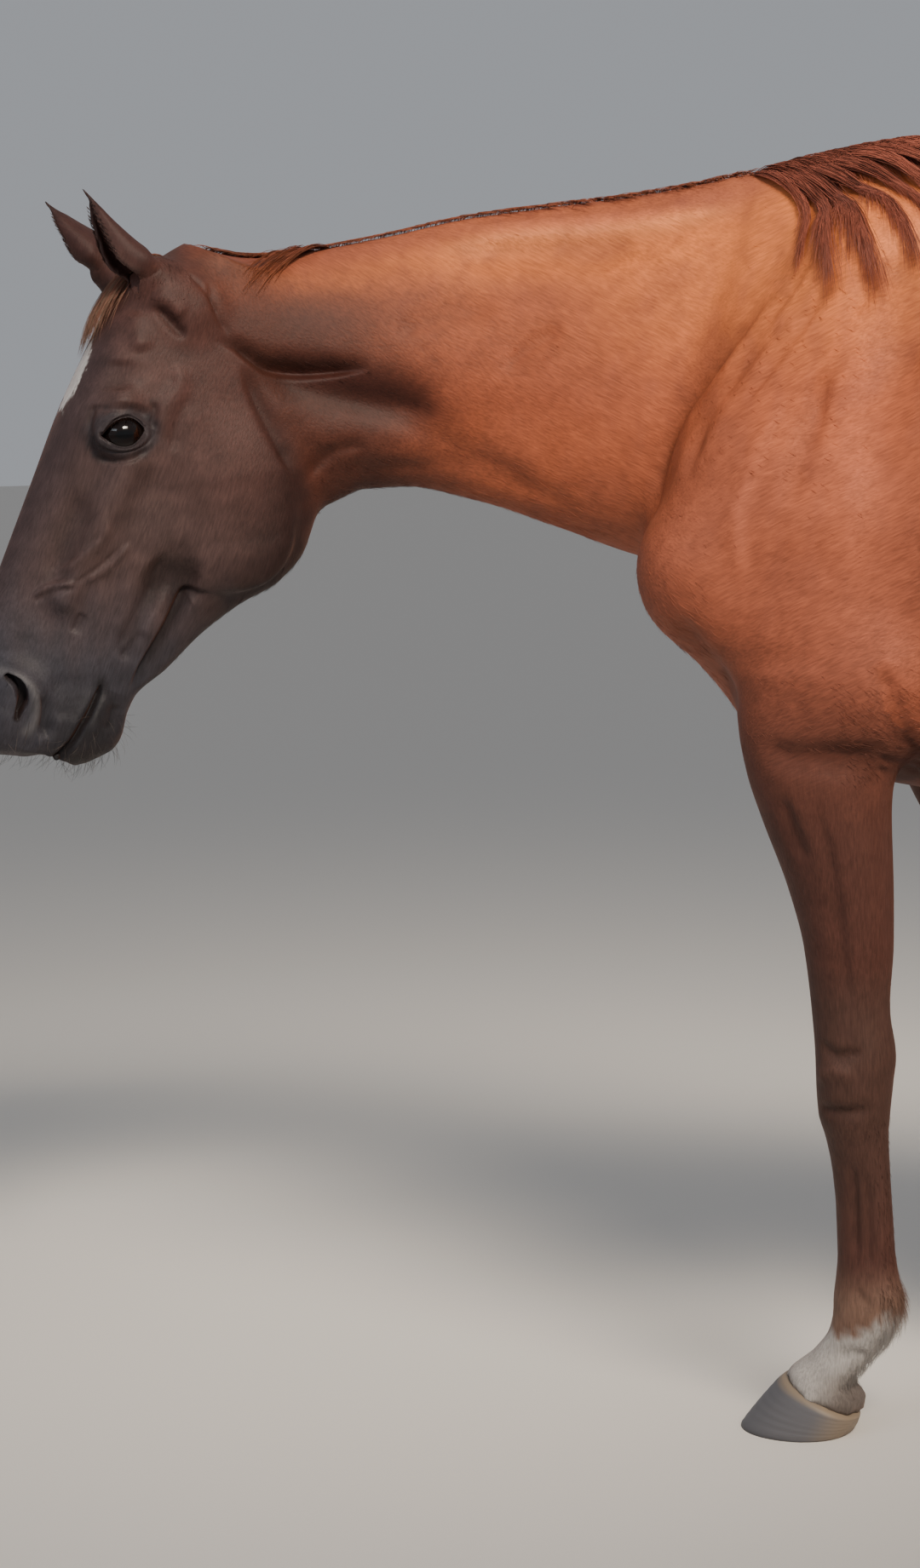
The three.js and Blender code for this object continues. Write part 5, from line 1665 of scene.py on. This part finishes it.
# a thin fringe on the near side of the crest, then wisps behind the poll that fall forward
NECK_LOCKS += [(s0, 26, -1, 31 + 7 * math.sin(s0 * 1.7), 3.4, 46, 0.95, 0.0) for s0 in range(50, 752, 27)]
NECK_LOCKS += [(580, 9, -1, 150, -0.75, 30, 0.6, 0.5), (604, 8, -1, 140, -0.7, 34, 0.55, 0.45),
               (630, 9, -1, 115, -0.6, 26, 0.6, 0.4)]
# dark hair that lies back along the poll from the foot of the ears
NECK_LOCKS += [(s0, 10, -1, 58, 4.2, 40, 0.6, 0.3) for s0 in (690, 704, 718, 732)]
finish_piece(locks("mane_withers", WITHERS_LOCKS, 11, (1.1, 2.2), 10, HAIR_RED), "long_hair", "mane")
finish_piece(locks("mane_neck", NECK_LOCKS, 12, (1.0, 2.0), 9, HAIR_LIGHT), "long_hair", "mane")

# %% [markdown]
# ## Forelock and tail
# The forelock is a thin fringe from between the ears. The tail hangs from the dock: its strands run
# inside an outline of centre, half length and half width by height, over a darker solid core that is
# painted shade of the hair inside the tail.

# %% Forelock and tail
n = int(900 * DENSE)
r = np.random.default_rng(21)
t0, l0 = 6 + 28 * r.random(n), 14 * r.normal(size=n)
roots = settle(body_field, head_point(t0, 40 + 0 * t0, l0), -2.0, 3)
start = AXIS * 0.8 + FRONT * 0.35 + SIDE * (0.010 * l0[:, None] + 0.07 * r.normal(size=(n, 1)))
length = (60 + 105 * r.random(n)) * (1 - 0.2 * np.abs(l0) / 40)
path = fall(roots, start, length, 10, 0.12, 1.0 + 7 * r.random(n) ** 2, 0.035, 22, 4.0, AXIS * 0.25)
rgba = tinted([HAIR_DARK, HAIR_RED, HAIR_GREY], n)
forelock = strands("forelock", path, body_normal(path[:, 5]), 0.9 + 1.0 * r.random(n), rgba,
                   np.stack([(t0 + 20) / 70, 0.5 + l0 / 110], 1), M_LONG, tip_color=HAIR_GREY)
finish_piece(forelock, "long_hair", "forelock")

# height, centre, half length and half width of the tail
TAIL = [(1478, 1392, 24, 30), (1462, 1418, 34, 36), (1425, 1440, 34, 40), (1370, 1455, 34, 46),
        (1290, 1466, 38, 54), (1190, 1474, 44, 62), (1080, 1480, 50, 68), (960, 1486, 54, 70),
        (840, 1490, 54, 66), (730, 1494, 48, 56), (640, 1496, 38, 42), (570, 1498, 24, 26),
        (520, 1500, 8, 9)]
tail_x, tail_a, tail_b = [curve([(-row[0], row[k]) for row in TAIL]) for k in (1, 2, 3)]


def tail_paths(n, seed, steps=15):
    """Paths of the tail's strands, with the angle and height of each root."""
    r = np.random.default_rng(seed)
    top = 1470 - 190 * r.random(n) ** 1.5
    end = 520 + 330 * r.random(n) ** 2.2
    ang = 2 * np.pi * r.random(n)
    share = 0.5 + 0.5 * r.random(n) ** 0.6
    u = np.linspace(0, 1, steps)[None]
    z = top[:, None] + (end - top)[:, None] * u
    lock = r.normal(size=(n, 1)) * 0.25 + 0.25 * np.sin(3 * ang)[:, None]
    wide = np.minimum(1, 0.45 + 1.6 * u) * share[:, None]
    sway = ang[:, None] + 0.35 * np.sin(u * 3.4 + lock * 4)
    x = tail_x(-z) + tail_a(-z) * wide * np.cos(sway) + 3 * np.sin(u * 9 + ang[:, None] * 5)
    y = tail_b(-z) * wide * np.sin(sway) + 3 * np.sin(u * 8 + ang[:, None] * 7)
    x[:, 0] = np.minimum(x[:, 0], tail_x(-z[:, 0]) + 16)
    return np.stack([x, y, z], -1), ang, top


n = int(1950 * DENSE)
path, ang, top = tail_paths(n, 31)
up = np.stack([np.cos(ang), np.sin(ang), 0 * ang], 1)
r = np.random.default_rng(32)
tail = strands("tail", path, up, 2.4 + 2.0 * r.random(n), tinted([HAIR_DARK, HAIR_RED, HAIR_RED], n),
               np.stack([ang / (2 * np.pi), (1480 - top) / 200], 1), M_LONG, tip_color=HAIR_LIGHT)
finish_piece(tail, "long_hair", "tail")
rows, around = 26, 28
u = np.linspace(0, 1, rows)
z = 1474 - 900 * u
a = 2 * np.pi * np.arange(around) / around
thin = (0.62 - 0.3 * u)[:, None]
x = tail_x(-z)[:, None] + tail_a(-z)[:, None] * thin * np.cos(a) * (1 + 0.07 * np.sin(5 * a))
y = tail_b(-z)[:, None] * thin * np.sin(a) * (1 + 0.07 * np.sin(7 * a))
core = np.stack([x, y, np.repeat(z[:, None], around, 1)], -1)
faces = tube_faces(rows, around, inward=True)
faces += [tuple(range(around)), tuple((rows - 1) * around + j for j in range(around))[::-1]]
tail_core = mesh_object("tail_core", to_world(core.reshape(-1, 3)), faces)
# dark brown core: painted shade of the hair inside the tail
tail_core.data.materials.append(plain("tail core", lin("#34190f"), 0.7))
finish_piece(tail_core, "long_hair", "tail")

# %% [markdown]
# ## Short hair
# The coat is short and flat, so most of it is the skin's own bump. Fine tufts lie along the body on
# every side, a few millimetres long on the face and legs and up to 16 on neck and trunk. They stand
# out a little more on the throat, chest, elbows, belly and fetlocks.

# %% Short hair
def skin_samples():
    """Points and normals of the skin, its triangles, their areas and middles."""
    me = skin.data
    me.calc_loop_triangles()
    tri = read(me.loop_triangles, "vertices", 3, np.int32)
    q = to_horse(coords(me))
    nor = normals_of(me)
    a, b, c = q[tri[:, 0]], q[tri[:, 1]], q[tri[:, 2]]
    area = np.linalg.norm(np.cross(b - a, c - a), axis=1) / 2
    return q, nor, tri, area, (a + b + c) / 3


def along_skin(d, nor):
    return unit(d - nor * np.sum(d * nor, 1)[:, None])


def lie_direction(p, nor):
    """Unit direction in which the hair lies, along the surface."""
    _, n, _ = head_coords(p)
    a = neck_point(neck_coords(p[:, 0], p[:, 1])[0])[2]
    w = lie_shares(p)
    neck = np.stack([np.cos(a), np.sin(a), 0 * a - 0.55], 1)
    trunk = np.array([0.85, 0, -0.5])[None] * np.ones((len(p), 1))
    leg = np.array([0.12, 0, -1.0])[None] * np.ones((len(p), 1))
    face = AXIS[None] - FRONT[None] * 0.25 * smooth(40, -120, n)[:, None]
    d = unit(neck) * w[:, :1] + unit(trunk) * w[:, 1:2] + leg * w[:, 2:3] + face * w[:, 3:]
    d = d + 0.12 * wobble(p, 120, 12)[:, None] * np.array([0.3, 0, 1.0])
    return along_skin(d, nor)


SKIN_POINTS, SKIN_NORMAL, SKIN_TRI, SKIN_AREA, SKIN_MID = skin_samples()
SKIN_EAR = ear_share[SKIN_TRI].mean(1)


def tufts(name, n, weight, length, width, lift, seed, chart, spread, k=4, rgba=None):
    """n tufts of k rings on skin triangles chosen by weight. The length is a number or a function of
    the place; their tips stand lift millimetres off the skin."""
    r = np.random.default_rng(seed)
    n = int(n * DENSE)
    c = np.cumsum(SKIN_AREA * weight)
    pick = np.searchsorted(c, r.random(n) * c[-1])
    u, v = r.random((2, n))
    flip = u + v > 1
    u, v = np.where(flip, 1 - u, u), np.where(flip, 1 - v, v)
    tri = SKIN_TRI[pick]
    w3 = np.stack([1 - u - v, u, v], 1)[..., None]
    root = (SKIN_POINTS[tri] * w3).sum(1)
    nor = unit((SKIN_NORMAL[tri] * w3).sum(1))
    col = (tint[tri] * w3).sum(1) if rgba is None else tinted(rgba, n)
    d = along_skin(unit(lie_direction(root, nor) + spread * r.normal(size=(n, 3))), nor)
    ln = (length(root) if callable(length) else length) * (0.7 + 0.5 * r.random(n))
    up = lift * (0.6 + 0.8 * r.random(n))
    q = np.linspace(0, 1, k)
    path = (root[:, None] - nor[:, None] * 0.5 + d[:, None] * (ln[:, None] * q)[..., None]
            + nor[:, None] * (up[:, None] * (q ** 0.8)[None] * (1.6 - 0.6 * q))[..., None])
    col = col * (0.9 + 0.2 * r.random((n, 1)))
    ob = strands(name, path, nor, width * (0.8 + 0.4 * r.random(n)), col, chart(root), M_TUFT)
    return finish_piece(ob, "coat")


# where each region's strands lie on the OFBake map: along it by angle round it
def head_chart(p):
    t, n, l = head_coords(p)
    return np.stack([(t + 120) / 820, 0.5 + np.arctan2(l, n + 60) / (2 * np.pi)], 1)


def neck_chart(p):
    s, lat = neck_coords(p[:, 0], p[:, 1])
    return np.stack([(s + 120) / 1000, 0.5 + np.arctan2(lat, p[:, 2] - 1380) / (2 * np.pi)], 1)


def trunk_chart(p):
    return np.stack([(p[:, 0] + 200) / 1700, 0.5 + np.arctan2(p[:, 1], p[:, 2] - 1200) / (2 * np.pi)], 1)


def side_chart(p):
    return np.stack([(p[:, 0] + 1100) / 2700, p[:, 2] / 1700], 1)


def leg_chart(p):
    out = np.zeros((len(p), 2))
    for k, leg in enumerate(LEGS.values()):
        dx, dy = leg.from_centre(p)
        here = leg.within(p, 230)
        u = np.arctan2(dy, dx) / (2 * np.pi) + 0.5
        out[here] = np.stack([(k + 0.03 + 0.94 * u) / 4, p[:, 2] / 1050], 1)[here]
    return out


# the regions of the skin's triangles
mid_t, mid_n, mid_l = head_coords(SKIN_MID)
mid_s, _ = neck_coords(SKIN_MID[:, 0], SKIN_MID[:, 1])
mid_z = SKIN_MID[:, 2]
is_head = smooth(-70, 20, mid_t) * (mid_s > JAW_EDGE(mid_z) - 20)
u, v = eye_plane(mid_t, mid_n)
bare = ((np.hypot(u, v) < 40) & (np.abs(mid_l) > 50)) | (np.hypot(mid_t - 615, mid_n) < 30) | (mid_t > 655)
is_leg = (mid_z < 900) & (mid_s < 300) & (is_head < 0.5)
is_neck = (is_head < 0.5) & ~is_leg & (mid_s > 20)
is_trunk = (is_head < 0.5) & ~is_leg & (mid_s <= 20)

hairy_head = is_head * ~bare * (SKIN_EAR < 0.5) * (0.3 + 0.7 * smooth(560, 380, mid_t))
tufts("coat_head", 11500, hairy_head, lambda p: 5.5 + 3 * smooth(150, -60, head_coords(p)[0]), 0.5, 0.35,
      41, head_chart, 0.09, k=3)
tufts("coat_neck", 11500, is_neck, 12, 0.8, 0.5, 42, neck_chart, 0.07, k=3)
tufts("coat_trunk", 9500, is_trunk, 15, 1.0, 0.55, 43, trunk_chart, 0.07, k=3)
tufts("coat_legs", 10500, is_leg, 9, 0.65, 0.45, 44, leg_chart, 0.08, k=3)

# longer hair that stands out a little: throat and jaw, chest, elbows, belly, flank, backs of the legs
down = smooth(-0.2, -0.8, SKIN_NORMAL[SKIN_TRI].mean(1)[:, 2])
throat = down * (mid_s > 250) * (mid_s < 720) * (mid_z > 1000) * (is_head < 0.5)
jaw = is_head * smooth(-170, -230, mid_n) * (mid_t < 600) * down
chest = (mid_s > 20) * (mid_s < 210) * (mid_z < 1120) * (mid_z > 880) * 1.0
elbow = (np.abs(SKIN_MID[:, 0] - 150) < 60) * (np.abs(mid_z - 920) < 60) * 2.0
belly = is_trunk * down * (mid_z < 960) * 1.0
back_leg = np.zeros(len(SKIN_MID))
heel_hair = np.zeros(len(SKIN_MID))
for leg in LEGS.values():
    dx, dy = leg.from_centre(SKIN_MID)
    u = dx / np.maximum((leg.hi(mid_z) - leg.lo(mid_z)) / 2, 1)
    here = (np.abs(dy) < 70) & (np.abs(u) < 1.3)
    back_leg = np.maximum(back_leg, here * (u > 0.55) * (mid_z < 430) * (mid_z > 200))
    pastern = smooth(235, 200, mid_z) * smooth(70, 100, mid_z)
    heel_hair = np.maximum(heel_hair, here * smooth(0.3, 0.8, u) * pastern)
tufts("coat_long", 5600, throat * 1.1 + jaw * 0.9 + chest * 0.5 + elbow * 0.8 + belly * 1.0 + back_leg * 1.2,
      lambda p: 9 + 9 * smooth(500, 900, p[:, 2]), 0.6, 1.8, 45, side_chart, 0.16)
tufts("fetlock_hair", 2600, heel_hair, lambda p: 16 + 14 * np.exp(-((p[:, 2] - 165) / 30) ** 2), 0.7, 5.0,
      46, leg_chart, 0.12, k=5)

# %% [markdown]
# ## Lashes, whiskers and ear hair
# Straight lashes on the upper lids, long fine feelers on chin, lips and under the eyes, and soft
# hair along the edges and in the hollow of each ear.

# %% Lashes, whiskers and ear hair
def hairs(name, roots, way, length, width, rgba, mat, steps, bend=(0, 0, 0)):
    """Single hairs that leave the skin along a way and bend a little."""
    roots, way, length = np.concatenate(roots), np.concatenate(way), np.concatenate(length)
    q = np.linspace(0, 1, steps)[None, :, None]
    path = roots[:, None] + unit(way)[:, None] * length[:, None, None] * q
    path = path + np.asarray(bend, float) * (length[:, None, None] * q**2)
    up = unit(np.cross(way, np.array([0.3, 0.9, 0.31])))
    return strands(name, path, up, width, rgba, head_chart(roots), mat, tip=0.3, flat=0.9)


r = np.random.default_rng(61)
roots, ways, lengths = [], [], []
count = max(8, int(90 * DENSE))
for side in (-1, 1):
    q = -0.62 + 1.3 * r.random(count)
    u = q * EYE_HALF
    v = -lid_lines(u)[0] - 0.8 - 1.2 * r.random(count)
    c, s = math.cos(EYE_TILT), math.sin(EYE_TILT)
    t, n = EYE_T + EYE_SHIFT[0] + u * s + v * c, EYE_N + EYE_SHIFT[1] + u * c - v * s
    rho = (t - EYE_T) ** 2 + (n - EYE_N) ** 2
    l = side * (EYE_L + np.sqrt(np.maximum((EYE_R + 1.5) ** 2 - rho, 40)))
    roots.append(head_point(t, n, l))
    ways.append(SIDE * side * 0.75 + EYE_ACROSS * (0.42 + 0.1 * r.normal(size=(count, 1)))
                + EYE_ALONG * (0.25 + 0.3 * q[:, None]))
    lengths.append(9 + 6 * r.random(count))
lashes = hairs("lashes", roots, ways, lengths, np.full(2 * count, 0.45),
               tinted([lin("#1c1210"), lin("#2a1a15")], 2 * count), M_LONG, 5, bend=UP * 0.12)
finish_piece(lashes, "coat")
chin = is_head * smooth(570, 600, mid_t) * smooth(-60, -100, mid_n)
lips = 0.5 * is_head * smooth(610, 640, mid_t)
u, v = eye_plane(mid_t, mid_n)
under_eye = is_head * (np.hypot(u, v - 34) < 16) * (np.abs(mid_l) > 50) * 0.5
tufts("whiskers", 240, chin + lips + under_eye, 24, 0.42, 16, 63, head_chart, 0.5, k=5,
      rgba=[lin("#2b2322"), lin("#5c524d")])


def ear_at(frame, q, turn):
    """Points on the outside of an ear's sheet; turn runs from edge to edge, -1 to 1."""
    b, axis, across, look, length, share = frame
    half = np.radians(EAR_OPEN(q))
    phi, deep = turn * half, EAR_DEEP(q)
    radius = np.where(np.cos(phi) > 0, deep, deep / np.maximum(-np.cos(half), 0.4))
    ahead = share * EAR_FORWARD(q) - radius * np.cos(phi)
    return (b + axis * (q * length)[:, None] + look * ahead[:, None]
            + across * (EAR_WIDE(q) * np.sin(phi))[:, None])


EAR_SNAP = 7                                # farthest that a root may lie from the skin
ear_points = SKIN_POINTS[ear_share > 0.5]
tree = KDTree(len(ear_points))
for i, q in enumerate(ear_points):
    tree.insert(q, i)
tree.balance()
roots, ways, lengths = [], [], []
for ear in EAR_FRAMES.values():
    axis, across, look = ear[1:4]
    m = max(30, int(1100 * DENSE))
    q = 0.2 + 0.68 * r.random(m)
    edge = np.where(r.random(m) < 0.5, -1.0, 1.0)
    root = ear_at(ear, q, edge * (0.94 + 0.05 * r.random(m))) - look * 1.5
    inward = -edge * (0.25 + 0.4 * r.random(m)) * smooth(0.95, 0.6, q)
    way = (across * inward[:, None] + axis * (0.9 + 0.3 * r.random((m, 1)))
           + look * (0.02 + 0.1 * r.normal(size=(m, 1))))
    length = (5 + 8 * r.random(m)) * (0.45 + 0.55 * smooth(1.0, 0.5, q))
    # every root moves to the nearest point of the skin, and those with none close by are dropped
    found = [tree.find(q) for q in root]
    kept = np.array([f[2] < EAR_SNAP for f in found])
    roots.append(np.array([tuple(f[0]) for f in found])[kept])
    ways.append(way[kept])
    lengths.append(length[kept])
n = sum(len(q) for q in roots)
ear_hair = hairs("ear_hair", roots, ways, lengths, 0.35 + 0.3 * r.random(n),
                 tinted([EAR_BACK, EAR_BACK, EAR_IN], n), M_TUFT, 4)
finish_piece(ear_hair, "coat")

# %% [markdown]
# ## Studio
# A wide pale floor, a cool even world light and two soft lamps: a warm low-evening key from behind the
# horse's near shoulder, which leaves the face in shade, and a bluish fill from the camera's side.
# The camera stands at a person's eye height on the near side and frames the head, neck and near foreleg.

# %% Studio
FLOOR_SIDE = 80                             # metres
bpy.ops.mesh.primitive_plane_add(size=FLOOR_SIDE, location=(0, 0, 0))
floor = bpy.context.object
floor.name = "floor"
floor.data.materials.append(plain("pale matt floor", lin("#d8d3cc"), 0.9))
world = bpy.data.worlds.new("studio")
bpy.context.scene.world = world
world.use_nodes = True
sky = world.node_tree.nodes["Background"]
sky.inputs["Color"].default_value = tuple(lin("#dfe3ea"))
sky.inputs["Strength"].default_value = 0.45


def area(name, at, aim, size, power, color, spread=180):
    """A rectangular lamp at a place, turned to its aim; the spread in degrees narrows its beam."""
    d = bpy.data.lights.new(name, "AREA")
    d.shape = "RECTANGLE"
    d.size, d.size_y = size
    d.energy = power
    d.color = color
    d.spread = math.radians(spread)
    o = bpy.data.objects.new(name, d)
    bpy.context.scene.collection.objects.link(o)
    o.location = at
    o.rotation_euler = (Vector(aim) - Vector(at)).to_track_quat("-Z", "Y").to_euler()


area("key", (2.7, -2.5, 4.2), (0.15, -0.1, 1.35), (3.2, 0.9), 36, (1, 0.88, 0.74), 36)
area("fill", (-2.2, -3.8, 3.0), (-0.6, 0, 1.0), (3.0, 0.7), 32, (0.84, 0.92, 1))

# %% Camera
LENS, SENSOR = 73.4, 36                     # millimetres
CAMERA_AT = (1293.0, -3885.4, 1358.0)       # in the horse's frame
cam = bpy.data.cameras.new("camera")
camera = bpy.data.objects.new("camera", cam)
bpy.context.scene.collection.objects.link(camera)
bpy.context.scene.camera = camera
cam.lens, cam.sensor_width, cam.sensor_fit = LENS, SENSOR, "AUTO"
yaw, pitch, roll = math.radians(25), math.radians(7.158), math.radians(-2.5)
flat = np.array([-math.sin(yaw), math.cos(yaw), 0])
look = flat * math.cos(pitch) - UP * math.sin(pitch)
right = np.array([math.cos(yaw), math.sin(yaw), 0])
top = np.cross(right, look)
across = math.cos(roll) * right + math.sin(roll) * top
up = -math.sin(roll) * right + math.cos(roll) * top
pose = Matrix.Identity(4)
for i in range(3):
    pose[i][0], pose[i][1], pose[i][2] = across[i], up[i], -look[i]
pose.translation = Vector(to_world(CAMERA_AT))
camera.matrix_world = pose
